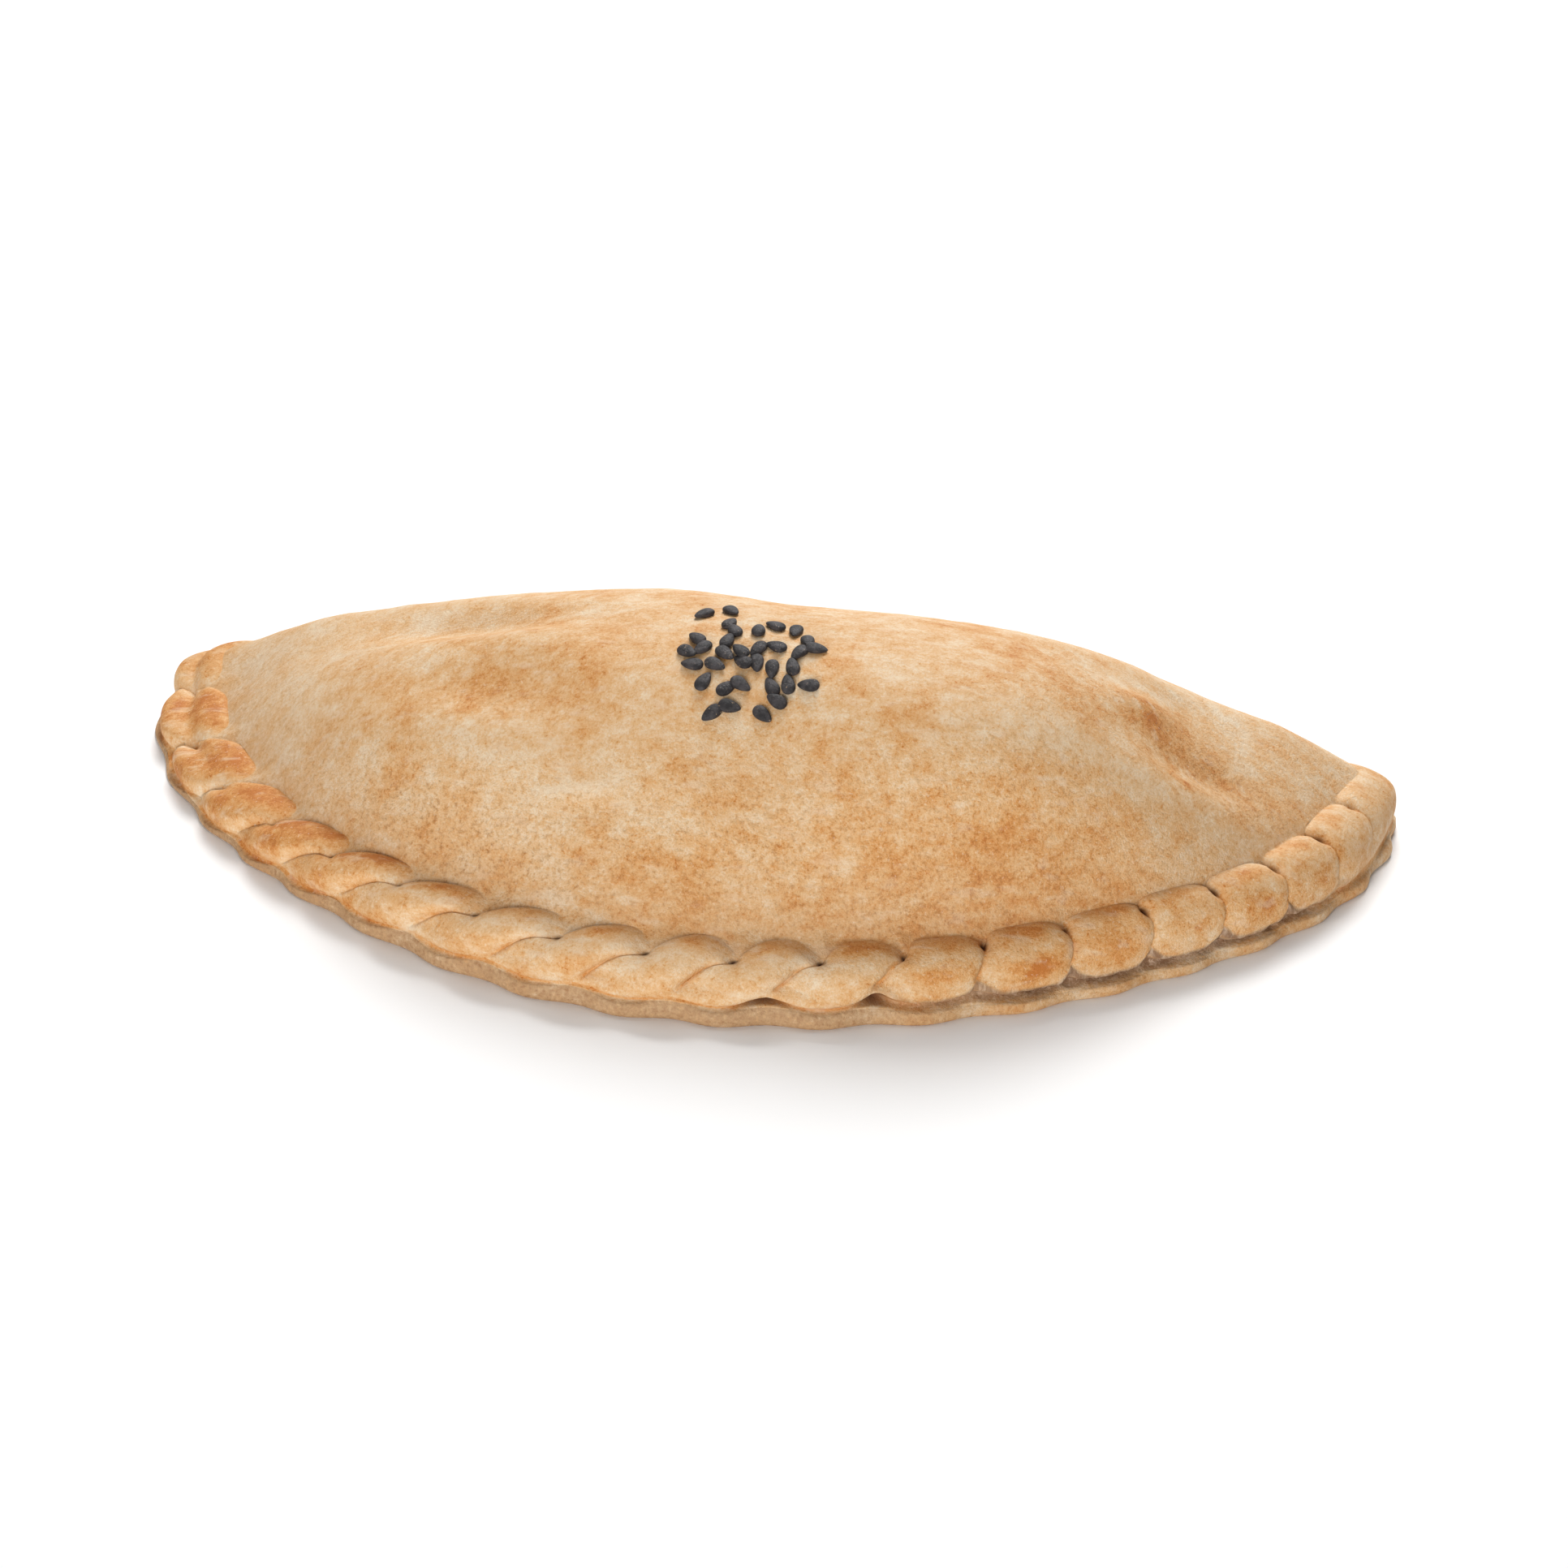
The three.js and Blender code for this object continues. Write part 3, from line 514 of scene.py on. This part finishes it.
# Patches seen from above: place, half lengths along and across, turn in degrees, strength
BROWNED_AND_SHADED_PATCHES = (
    # In the left hollow: browning, and partly painted shade
    (-27.0, -7.5, 14.0, 5.0, -20.0, 0.6),
    (65.0, 11.5, 13.0, 4.5, 12.0, 0.8),
    (41.0, 7.6, 7.0, 4.0, -10.0, 0.6),
    (57.5, 12.4, 4.2, 2.1, 46.0, 1.1),
    (64.3, 4.9, 0.9, 0.9, 0.0, 1.5),
    (47.0, -15.5, 16.0, 4.5, 28.0, 0.9),
    # Along the dome's foot behind the heads: browner crust, and partly painted shade
    (10.0, -27.0, 26.0, 4.0, 5.0, 0.45),
    (-34.3, -21.5, 4.0, 3.0, -25.0, 0.4),
)
FLOURY_AND_LIT_PATCHES = (
    (-66.0, 12.0, 14.0, 14.0, 0.0, 0.2),
    # Along the back of the top: flour, and partly painted highlight
    (-40.0, 27.0, 40.0, 10.0, 0.0, 0.6),
    (-60.0, 4.0, 16.0, 16.0, 0.0, 0.25),
    # Along the back of the top: flour, and partly painted highlight
    (35.0, 26.0, 40.0, 10.0, -5.0, 0.5),
    (-22.0, -14.6, 12.0, 2.0, -12.0, 0.3),
    (-16.7, -18.6, 12.0, 2.0, -12.0, 0.3),
    (27.0, -5.0, 6.0, 3.0, -20.0, 0.4),
    (44.0, -7.0, 10.0, 5.0, 20.0, 0.55),
    (58.0, -1.5, 9.0, 2.0, 22.0, 0.6),
    (-12.0, -21.0, 5.0, 0.9, 2.0, 0.7),
    (56.6, 10.6, 4.8, 0.7, 46.0, 1.0),
)
SPECKLED_AND_SHADED_PATCHES = (
    (-33.0, -19.0, 18.0, 5.0, -30.0, 0.6),
    (-25.0, -9.0, 12.0, 4.0, -20.0, 0.35),
    (65.0, 11.5, 13.0, 4.5, 12.0, 0.7),
    # Along the dome's foot behind the heads: dark specks, partly painted shade
    (6.0, -23.0, 30.0, 5.0, 5.0, 0.6),
    (45.0, -12.0, 18.0, 8.0, 28.0, 0.35),
)
# Range of the pits over which their painted shade grows, and the most that any mask reaches
PIT_DARKENS, MASK_MOST = (0.25, 0.8), 1.5
bare_dome = np.zeros((len(arcs), DOME_ROWS + LEDGE_ROWS))


def whole_crust(on_dome, on_edge, patches=()):
    """Mask of the whole grid from its parts on the dome and on the edge, with patches added in plan."""
    joined = np.concatenate([on_dome, on_edge], axis=1)
    return joined + turned_bells(smooth_grid[..., 0], smooth_grid[..., 1], patches)


# Masks: the browning also holds painted shade in the creases, the seam groove and some patches; the flour
# also holds painted light on the heads' tops and the back of the top; painted shade lies on the dome's foot
# and the lip, with more dark specks there; and painted shade darkens the pits and slots
masks = {
    "browned_and_shaded": whole_crust(bare_dome, rope_browning_and_shade + SEAM_GROOVE_SHADE * closed_groove_shade, BROWNED_AND_SHADED_PATCHES),
    "flour_and_light": whole_crust(bare_dome, MIDDLE_FLOUR_AND_LIGHT * strands_and_lit_heads, FLOURY_AND_LIT_PATCHES),
    "painted_shade": whole_crust(foot_shade, lip_shade),
    "rough": whole_crust(foot_shade, lip_shade, SPECKLED_AND_SHADED_PATCHES),
    "raw": whole_crust(bare_dome, raw_seam),
    "pit_and_slot_shade": smooth(*PIT_DARKENS, pits) + whole_crust(bare_dome, edge.slot * in_groove[None, :]),
}

# Handmade relief along the surface's normals, from fingertip-sized swells to crumbs, and strands in the raw
# seam, by height, size and draw. It fades out just above the table, so that the underside stays flat
SWELLS = ((0.28, 13.0, 1), (0.15, 5.5, 2), (0.06, 2.4, 3))
RAW_STRANDS = ((0.3, (1.2, 1.2, 3.5), 5), (0.25, 2.0, 6))
ABOVE_TABLE = (0, 1.5)
# Numbers that set the rows and layers of the lattice apart, and a length that keeps the normals finite
LATTICE_Y, LATTICE_Z = 57.31, 113.97
SHORTEST = 1e-9


def lumps(points, size, kind):
    """Smooth random heights from -1 to 1: a random value at each corner of a lattice of boxes of the given
    size, mixed over each box with weights that have level ends. Size is one number or three."""
    place = points / np.asarray(size)
    corner = np.floor(place)
    share = smooth(0, 1, place - corner)
    total = np.zeros(points.shape[:-1])
    for step in np.ndindex(2, 2, 2):
        at = corner + step
        number = at[..., 0] + at[..., 1] * LATTICE_Y + at[..., 2] * LATTICE_Z
        weight = np.prod(np.where(step, share, 1 - share), axis=-1)
        total += weight * scatter_value(number, kind)
    return 2 * total - 1


def layered_lumps(points, layers):
    """Sum over layers of a height times the lumps of a size and a draw."""
    return sum(height * lumps(points, size, kind) for height, size, kind in layers)


across_columns = np.roll(smooth_grid, -1, axis=0) - np.roll(smooth_grid, 1, axis=0)
down_rows = np.gradient(smooth_grid, axis=1)
normals = np.cross(down_rows, across_columns)
normals /= np.linalg.norm(normals, axis=-1, keepdims=True) + SHORTEST
relief = layered_lumps(smooth_grid, SWELLS) + masks["raw"] * layered_lumps(smooth_grid, RAW_STRANDS)
uneven_grid = smooth_grid + normals * (relief * smooth(*ABOVE_TABLE, smooth_grid[..., 2]))[..., None]
into_dough = np.stack([straight.in_x, straight.in_y, -np.ones_like(straight.in_x)], axis=-1) / np.sqrt(2)
crust_grid = uneven_grid + PIT_DEPTH * pits[..., None] * into_dough


def closed_faces(columns, rows, first=0):
    """Faces of a grid whose columns close on themselves between two poles, the two points after the grid's
    own. The grid's points are numbered from the first."""
    here = first + np.arange(columns)[:, None] * rows + np.arange(rows - 1)[None, :]
    after = np.roll(here, -1, axis=0)
    quads = np.stack([here, here + 1, after + 1, after], axis=-1).reshape(-1, 4)
    top_pole = np.full(columns, first + columns * rows)
    top_fan = np.stack([top_pole, here[:, 0], after[:, 0]], axis=-1)
    low_fan = np.stack([top_pole + 1, after[:, -1] + 1, here[:, -1] + 1], axis=-1)
    return quads.tolist() + top_fan.tolist() + low_fan.tolist()


def smooth_piece(name, points, faces):
    """Object with a smooth-shaded mesh of points in millimetres."""
    mesh = bpy.data.meshes.new(name)
    mesh.from_pydata((points * MM).tolist(), [], faces)
    mesh.polygons.foreach_set("use_smooth", np.ones(len(mesh.polygons), bool))
    mesh.update()
    piece = bpy.data.objects.new(name, mesh)
    bpy.context.collection.objects.link(piece)
    return piece


poles = [[CROWN[0], CROWN[1], crust_grid[:, 0, 2].mean()], [CROWN[0], CROWN[1], 0]]
crust_points = np.concatenate([crust_grid.reshape(-1, 3), poles]) - ORIGIN
crust_faces = closed_faces(*crust_grid.shape[:2])
crust = smooth_piece("crust", crust_points, crust_faces)
for name, mask in masks.items():
    attribute = crust.data.attributes.new(name, "FLOAT", "POINT")
    attribute.data.foreach_set("value", np.append(np.clip(mask, 0, MASK_MOST), [0, 0]))


def new_material(name, roughness, gloss):
    """Material with a plain shader. Returns the material, its node tree and the shader's inputs."""
    material = bpy.data.materials.new(name)
    material.use_nodes = True
    shader = material.node_tree.nodes["Principled BSDF"]
    shader.inputs["Roughness"].default_value = roughness
    shader.inputs["Specular IOR Level"].default_value = gloss
    return material, material.node_tree, shader.inputs


def paint(red, green, blue):
    """Shader colour of a paint-chart colour: each share of 255 to the power of 2.2."""
    return ((red / 255) ** 2.2, (green / 255) ** 2.2, (blue / 255) ** 2.2, 1)


def wire(tree, value, socket):
    """Links an output to an input, or sets the input where the value is plain."""
    if isinstance(value, bpy.types.NodeSocket):
        tree.links.new(value, socket)
    else:
        socket.default_value = value


def noise(tree, place, scale, detail, rough, warp):
    """Output of a noise texture with patches of about one over scale metres."""
    texture = tree.nodes.new("ShaderNodeTexNoise")
    wire(tree, place, texture.inputs["Vector"])
    for socket, value in {"Scale": scale, "Detail": detail, "Roughness": rough, "Distortion": warp}.items():
        wire(tree, value, texture.inputs[socket])
    return texture.outputs["Fac"]


def stretched(tree, place, scale):
    """Coordinates scaled along each axis, so that a noise on them becomes strands."""
    mapping = tree.nodes.new("ShaderNodeMapping")
    wire(tree, place, mapping.inputs["Vector"])
    mapping.inputs["Scale"].default_value = scale
    return mapping.outputs["Vector"]


def calculate(tree, operation, *values):
    """Output of a math node."""
    node = tree.nodes.new("ShaderNodeMath")
    node.operation = operation
    for socket, value in zip(node.inputs, values):
        wire(tree, value, socket)
    return node.outputs[0]


def rise(tree, value, start, stop):
    """Output that goes smoothly from 0 to 1 as a value goes from start to stop."""
    node = tree.nodes.new("ShaderNodeMapRange")
    node.interpolation_type = "SMOOTHSTEP"
    for socket, setting in {"Value": value, "From Min": start, "From Max": stop}.items():
        wire(tree, setting, node.inputs[socket])
    return node.outputs["Result"]


# Sockets of a mix node that are for colours
MIX_SHARE, MIX_LOW, MIX_HIGH, MIX_RESULT = 0, 6, 7, 2


def blend(tree, share, low, high):
    """Colour mixed from two colours by a share."""
    node = tree.nodes.new("ShaderNodeMix")
    node.data_type = "RGBA"
    for socket, value in {MIX_SHARE: share, MIX_LOW: low, MIX_HIGH: high}.items():
        wire(tree, value, node.inputs[socket])
    return node.outputs[MIX_RESULT]


def ramp(tree, value, stops):
    """Colour of a value along a row of stops, each added halfway and then moved to its place."""
    node = tree.nodes.new("ShaderNodeValToRGB")
    wire(tree, value, node.inputs["Fac"])
    elements = node.color_ramp.elements
    while len(elements) < len(stops):
        elements.new(0.5)
    for element, (position, colour) in zip(elements, stops):
        element.position = position
        element.color = colour
    return node.outputs["Color"]


def mask_of(tree, name):
    """Output of one of the piece's painted masks."""
    node = tree.nodes.new("ShaderNodeAttribute")
    node.attribute_name = name
    return node.outputs["Fac"]


def object_place(tree):
    """Output of the piece's own coordinates."""
    return tree.nodes.new("ShaderNodeTexCoord").outputs["Object"]


# Fine grain of a dry skin, shared by the crust and the seeds: a noise, and the normal bent by its height and
# by that of a coarser pattern
GRAIN_DETAIL = 3
GRAIN_INPUTS = ("Scale", "Roughness", "Warp", "Coarser", "Depth")
fine_grain = bpy.data.node_groups.new("fine_grain", "ShaderNodeTree")
for name in GRAIN_INPUTS:
    fine_grain.interface.new_socket(name, in_out="INPUT", socket_type="NodeSocketFloat")
fine_grain.interface.new_socket("Grain", in_out="OUTPUT", socket_type="NodeSocketFloat")
fine_grain.interface.new_socket("Normal", in_out="OUTPUT", socket_type="NodeSocketVector")
given = fine_grain.nodes.new("NodeGroupInput").outputs
result = fine_grain.nodes.new("NodeGroupOutput").inputs
group_grain = noise(
    fine_grain, object_place(fine_grain), given["Scale"], GRAIN_DETAIL, given["Roughness"], given["Warp"])
group_bump = fine_grain.nodes.new("ShaderNodeBump")
wire(fine_grain, calculate(fine_grain, "ADD", group_grain, given["Coarser"]), group_bump.inputs["Height"])
wire(fine_grain, given["Depth"], group_bump.inputs["Distance"])
wire(fine_grain, group_grain, result["Grain"])
wire(fine_grain, group_bump.outputs["Normal"], result["Normal"])


def grained(tree, scale, rough, warp, coarser, depth):
    """Fine grain placed in a material with its own values. Returns the grain and the normal."""
    node = tree.nodes.new("ShaderNodeGroup")
    node.node_tree = fine_grain
    for name, value in zip(GRAIN_INPUTS, (scale, rough, warp, coarser, depth)):
        wire(tree, value, node.inputs[name])
    return node.outputs["Grain"], node.outputs["Normal"]


CRUST_ROUGHNESS, CRUST_GLOSS = 0.7, 0.4
# Colours from the floury crust to the most browned, and those of the painted shade on the lip and
# the dome's foot, specks, raw seam and painted shade in the pits and slots
FLOUR, PEACH, TAN = paint(233, 210, 179), paint(226, 187, 141), paint(220, 169, 114)
TOASTED, DEEP_ORANGE = paint(211, 147, 82), paint(191, 114, 49)
CRUST_TONES = ((0.1, FLOUR), (0.36, PEACH), (0.55, TAN), (0.75, TOASTED), (0.98, DEEP_ORANGE))
SHADE_TAN, SPECK_BROWN, PIT_SHADE_BROWN = paint(185, 147, 108), paint(150, 99, 55), paint(95, 54, 25)
RAW_DOUGH, RAW_STRAND = paint(143, 108, 80), paint(196, 168, 142)
# Patterns: scale, detail, roughness and warp of the noise, and how some are stretched
BLOTCHES = (110, 3, 0.55, 0.0)
MOTTLING, MOTTLING_STRETCH = (420, 4, 0.6, 0.0), (0.8, 1, 1)
STREAKS, STREAK_STRETCH = (520, 3, 0.55, 0.0), (0.3, 1, 1)
SPECKLE = (1500, 4, 0.7, 0.0)
SPECKS = (2100, 2, 0.5, 0.0)
FIBRES, FIBRE_STRETCH = (1500, 3, 0.65, 0.8), (1, 1, 0.22)
# Grain and the speckle under it: scale, roughness and warp, height of the speckle and depth in metres
CRUST_GRAIN, SPECKLE_HEIGHT, CRUST_GRAIN_DEPTH = (3600, 0.7, 0.0), 1.5, 0.00013
# Tone along the colours: its middle, the strength of each pattern, how far flour and painted light
# calm the patterns, and the change by browning with painted shade, by flour with painted light, and by specks
TONE_MIDDLE, NOISE_MIDDLE, FLOUR_AND_LIGHT_CALMS = 0.44, 0.5, -0.5
BLOTCH_TONE, MOTTLING_TONE, SPECKLE_TONE, GRAIN_TONE = 0.8, 1.0, 0.65, 0.75
BROWNED_AND_SHADED_TONE, FLOUR_AND_LIGHT_TONE, SPECK_TONE = 0.32, -0.25, 0.25
# Ranges of the noises over which the specks show, on the mottled parts, and the fibres of the raw seam
SPECKS_SHOW, MOTTLING_SHOWS, FIBRES_SHOW = (0.6, 0.7), (0.4, 0.6), (0.42, 0.68)

crust_material, tree, crust_shader = new_material("baked_crust", CRUST_ROUGHNESS, CRUST_GLOSS)
place = object_place(tree)
painted = {name: mask_of(tree, name) for name in masks}
blotches = noise(tree, place, *BLOTCHES)
mottling = noise(tree, stretched(tree, place, MOTTLING_STRETCH), *MOTTLING)
streaks = noise(tree, stretched(tree, place, STREAK_STRETCH), *STREAKS)
speckle = noise(tree, place, *SPECKLE)
specks = noise(tree, place, *SPECKS)
fibres = noise(tree, stretched(tree, place, FIBRE_STRETCH), *FIBRES)
coarser = calculate(tree, "MULTIPLY", speckle, SPECKLE_HEIGHT)
grain, crust_normal = grained(tree, *CRUST_GRAIN, coarser, CRUST_GRAIN_DEPTH)
wire(tree, crust_normal, crust_shader["Normal"])

uneven = 0.0
for pattern, strength in zip(
    (blotches, mottling, speckle, grain), (BLOTCH_TONE, MOTTLING_TONE, SPECKLE_TONE, GRAIN_TONE)
):
    centred = calculate(tree, "SUBTRACT", pattern, NOISE_MIDDLE)
    uneven = calculate(tree, "MULTIPLY_ADD", centred, strength, uneven)
calm = calculate(tree, "MULTIPLY_ADD", painted["flour_and_light"], FLOUR_AND_LIGHT_CALMS, 1.0)
tone = calculate(tree, "MULTIPLY_ADD", uneven, calm, TONE_MIDDLE)
speck_share = calculate(
    tree, "MULTIPLY", rise(tree, specks, *SPECKS_SHOW), rise(tree, mottling, *MOTTLING_SHOWS))
for share, change in (
    (painted["browned_and_shaded"], BROWNED_AND_SHADED_TONE), (painted["flour_and_light"], FLOUR_AND_LIGHT_TONE), (speck_share, SPECK_TONE)
):
    tone = calculate(tree, "MULTIPLY_ADD", share, change, tone)
colour = ramp(tree, tone, CRUST_TONES)

# Coats over the toned crust: pattern, range over which it shows, mask, share added by the mask, share without
# it, and colour
coats = (
    (streaks, (0.54, 0.72), "flour_and_light", 0.4, 0.35, FLOUR),
    # Painted shade on the dome's foot and the lip, in a dull tan
    (speckle, (0.1, 0.55), "painted_shade", 1.0, 0.0, SHADE_TAN),
    # Dark specks, more of them where the dome's foot and the lip carry painted shade
    (speckle, (0.48, 0.74), "rough", 0.6, 0.1, SPECK_BROWN),
    # Flour flecks, fewer where painted shade lies
    (specks, (0.36, 0.3), "painted_shade", -0.4, 0.4, FLOUR),
)
for pattern, shows, mask_name, added, base, coat in coats:
    strength = calculate(tree, "MULTIPLY_ADD", painted[mask_name], added, base)
    coat_share = calculate(tree, "MULTIPLY", rise(tree, pattern, *shows), strength)
    colour = blend(tree, coat_share, colour, coat)
raw_colour = blend(tree, rise(tree, fibres, *FIBRES_SHOW), RAW_DOUGH, RAW_STRAND)
colour = blend(tree, painted["raw"], colour, raw_colour)
# Painted shade in the pits and slots
colour = blend(tree, painted["pit_and_slot_shade"], colour, PIT_SHADE_BROWN)
wire(tree, colour, crust_shader["Base Color"])
crust.data.materials.append(crust_material)
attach(crust, "root")
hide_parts("empanada")

# Sesame seeds
# Black sesame strewn on the crown before baking, stuck to the dough and a little sunk in it. Flat teardrops
# with a matt charcoal hull; those that fell on others lie on them at a slant.

SEED_LENGTH, SEED_WIDTH, SEED_THICKNESS, SEED_SUNK = 3.1, 1.85, 1.0, 0.15
SEED_TAPER, SEED_SQUARE = 0.3, 0.85
SEED_AROUND, SEED_ALONG = 20, 14
# Scatter: how many, the least distance between two, the middle and spread in plan, the layout and its draws
SEED_COUNT, SEED_GAP = 34, 1.7
SEED_PATCH, SEED_SPREAD = np.array([6.7, -4.8]), np.array([5.2, 5.0])
SEED_LAYOUT, AWAY_DRAW, TURN_DRAW, HEADING_DRAW = 75584, 1, 2, 3
# Seeds on others: the distance within which one lies on another, its lift, and its lean by the distance
SEED_OVERLAP, SEED_LIFT, SEED_LEAN = 2.5, 0.55, 0.35
# Steps to each side for the crust's slope, and the height that the rays down to it start from
SLOPE_STEP, RAY_HEIGHT = 1.0, 100.0


def seed_surface(around, along):
    """A flat teardrop, thin end to +Y: the half width is the sine of the angle from the thin end, narrowed
    towards that end, and the section is a superellipse, flatter than an ellipse on its two faces."""
    end = np.cos(along)
    half = np.sin(along) * (1 - SEED_TAPER * end)
    across = np.sign(np.sin(around)) * np.abs(np.sin(around)) ** SEED_SQUARE
    up = np.sign(np.cos(around)) * np.abs(np.cos(around)) ** SEED_SQUARE
    return np.stack(np.broadcast_arrays(
        SEED_WIDTH / 2 * half * across, SEED_LENGTH / 2 * end, SEED_THICKNESS / 2 * half * up), axis=-1)


# A scatter that thins out as a bell around the middle of the patch, each seed clear of those before it
seed_places = []
index = 0
while len(seed_places) < SEED_COUNT:
    index += 1
    away = np.sqrt(-2 * np.log(1 - scatter_value(index, AWAY_DRAW, SEED_LAYOUT)))
    turn = 2 * np.pi * scatter_value(index, TURN_DRAW, SEED_LAYOUT)
    spot = SEED_PATCH + SEED_SPREAD * away * np.array([np.cos(turn), np.sin(turn)])
    if all(np.hypot(*(spot - other)) > SEED_GAP for other, _ in seed_places):
        seed_places.append((spot, 2 * np.pi * scatter_value(index, HEADING_DRAW, SEED_LAYOUT)))

crust_tree = BVHTree.FromPolygons(crust_points.tolist(), crust_faces)


def crust_height(x, y):
    """Height of the crust over a plan point, by a ray straight down."""
    hit = crust_tree.ray_cast(Vector((x, y, RAY_HEIGHT)), Vector((0, 0, -1)))[0]
    return hit.z


around = 2 * np.pi * np.arange(SEED_AROUND)[:, None] / SEED_AROUND
along = np.pi * np.arange(1, SEED_ALONG)[None, :] / SEED_ALONG
seed_grid = seed_surface(around, along).reshape(-1, 3)
seed_ends = np.array([[0, SEED_LENGTH / 2, 0], [0, -SEED_LENGTH / 2, 0]])
seed_points = np.concatenate([seed_grid, seed_ends])
all_points, all_faces = [], []
for number, (spot, heading) in enumerate(seed_places):
    x, y = spot - ORIGIN[:2]
    rise_x = crust_height(x + SLOPE_STEP, y) - crust_height(x - SLOPE_STEP, y)
    rise_y = crust_height(x, y + SLOPE_STEP) - crust_height(x, y - SLOPE_STEP)
    lean = -np.array([rise_x, rise_y]) / (2 * SLOPE_STEP)
    lift = 0.0
    for other, _ in seed_places[:number]:
        apart = spot - other
        closeness = max(0, 1 - np.hypot(*apart) / SEED_OVERLAP)
        lift += SEED_LIFT * closeness
        lean = lean + SEED_LEAN * closeness * apart
    up = np.array([*lean, 1]) / np.hypot(1, np.hypot(*lean))
    across = np.array([np.sin(heading), -np.cos(heading), 0])
    across = across - up * (across @ up)
    across /= np.linalg.norm(across)
    basis = np.stack([across, np.cross(up, across), up])
    above_crust = SEED_THICKNESS / 2 - SEED_SUNK + min(lift, SEED_LIFT)
    middle = np.array([x, y, crust_height(x, y)]) + up * above_crust
    all_faces += closed_faces(SEED_AROUND, SEED_ALONG - 1, len(seed_points) * number)
    all_points.append(seed_points @ basis + middle)
seeds = smooth_piece("sesame_seeds", np.concatenate(all_points), all_faces)

# Charcoal hull with greyer patches, and flour dust on the tops of its grain: noises and the ranges that show
HULL_ROUGHNESS, HULL_GLOSS = 0.55, 0.35
HULL, HULL_GREY, HULL_DUST = paint(44, 41, 42), paint(72, 68, 69), paint(196, 165, 134)
HULL_PATCHES, PATCHES_SHOW = (900, 2, 0.5, 0.2), (0.35, 0.7)
HULL_GRAIN, HULL_GRAIN_DEPTH, DUST_SHOWS = (3200, 0.65, 0.4), 0.0002, (0.64, 0.76)
seed_material, tree, seed_shader = new_material("sesame_hull", HULL_ROUGHNESS, HULL_GLOSS)
hull_patches = noise(tree, object_place(tree), *HULL_PATCHES)
hull_grain, hull_normal = grained(tree, *HULL_GRAIN, coarser=0.0, depth=HULL_GRAIN_DEPTH)
colour = blend(tree, rise(tree, hull_patches, *PATCHES_SHOW), HULL, HULL_GREY)
colour = blend(tree, rise(tree, hull_grain, *DUST_SHOWS), colour, HULL_DUST)
wire(tree, colour, seed_shader["Base Color"])
wire(tree, hull_normal, seed_shader["Normal"])
seeds.data.materials.append(seed_material)
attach(seeds, "root")
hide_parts("empanada")

# Floor, lights and camera
# A white table top lit by soft lamps from behind, above and in front and by a dim white surround, seen from
# the photograph's place.

FLOOR_HALF, FLOOR_ROUGHNESS, FLOOR_GLOSS = 3000, 0.9, 0.5
FLOOR_WHITE, SURROUND_WHITE, SURROUND_STRENGTH = (0.97, 0.97, 0.97, 1), (1, 1, 1, 1), 0.1
floor_corners = FLOOR_HALF * np.array([(-1, -1, 0), (1, -1, 0), (1, 1, 0), (-1, 1, 0)])
floor = smooth_piece("floor", floor_corners, [(0, 1, 2, 3)])
floor_material, _, floor_shader = new_material("white_table", FLOOR_ROUGHNESS, FLOOR_GLOSS)
floor_shader["Base Color"].default_value = FLOOR_WHITE
floor.data.materials.append(floor_material)


def aimed(position, target):
    """Transform that puts an object at a position with its -Z axis towards a target and its Y axis up."""
    turn = (Vector(target) - Vector(position)).to_track_quat("-Z", "Y")
    return Matrix.Translation(position) @ turn.to_matrix().to_4x4()


# Square lamps aimed at the middle of the table: name, place and size in metres, and watts
LAMPS = (
    ("back_lamp", (-0.05, 0.87, 0.86), 0.55, 16.0),
    ("top_lamp", (-0.05, 0.3, 1.27), 0.8, 4.0),
    ("front_lamp", (-0.05, -1.37, 0.23), 0.8, 18.5),
)
for name, position, size, watts in LAMPS:
    lamp_data = bpy.data.lights.new(name, "AREA")
    lamp_data.energy = watts
    lamp_data.size = size
    lamp = bpy.data.objects.new(name, lamp_data)
    lamp.matrix_world = aimed(position, (0, 0, 0))
    bpy.context.collection.objects.link(lamp)

surround = bpy.data.worlds.new("studio")
surround.use_nodes = True
surround_inputs = surround.node_tree.nodes["Background"].inputs
surround_inputs["Color"].default_value = SURROUND_WHITE
surround_inputs["Strength"].default_value = SURROUND_STRENGTH
bpy.context.scene.world = surround
bpy.context.scene.view_settings.view_transform = "Standard"

# Camera: turn to the right of square on, angle above the table, distance in metres, and the point in the
# middle of the photograph. The lens gives the photograph's scale at that point
VIEW_AZIMUTH, VIEW_ELEVATION, VIEW_DISTANCE = np.radians(14.36), np.radians(29.0), 0.75
VIEW_TARGET = (np.array([9.8, 1.6, 15.0]) - ORIGIN) * MM
PIXELS_PER_MM, PHOTO_PIXELS = 9.112, 1932
SENSOR_WIDTH, VIEW_FAR = 36, 20
camera_data = bpy.data.cameras.new("camera")
camera_data.sensor_width = SENSOR_WIDTH
camera_data.lens = PIXELS_PER_MM / MM * VIEW_DISTANCE / PHOTO_PIXELS * SENSOR_WIDTH
camera_data.clip_end = VIEW_FAR
camera = bpy.data.objects.new("camera", camera_data)
from_target = np.array([
    np.sin(VIEW_AZIMUTH) * np.cos(VIEW_ELEVATION),
    -np.cos(VIEW_AZIMUTH) * np.cos(VIEW_ELEVATION),
    np.sin(VIEW_ELEVATION),
])
camera.matrix_world = aimed(VIEW_TARGET + from_target * VIEW_DISTANCE, VIEW_TARGET)
bpy.context.collection.objects.link(camera)
bpy.context.scene.camera = camera
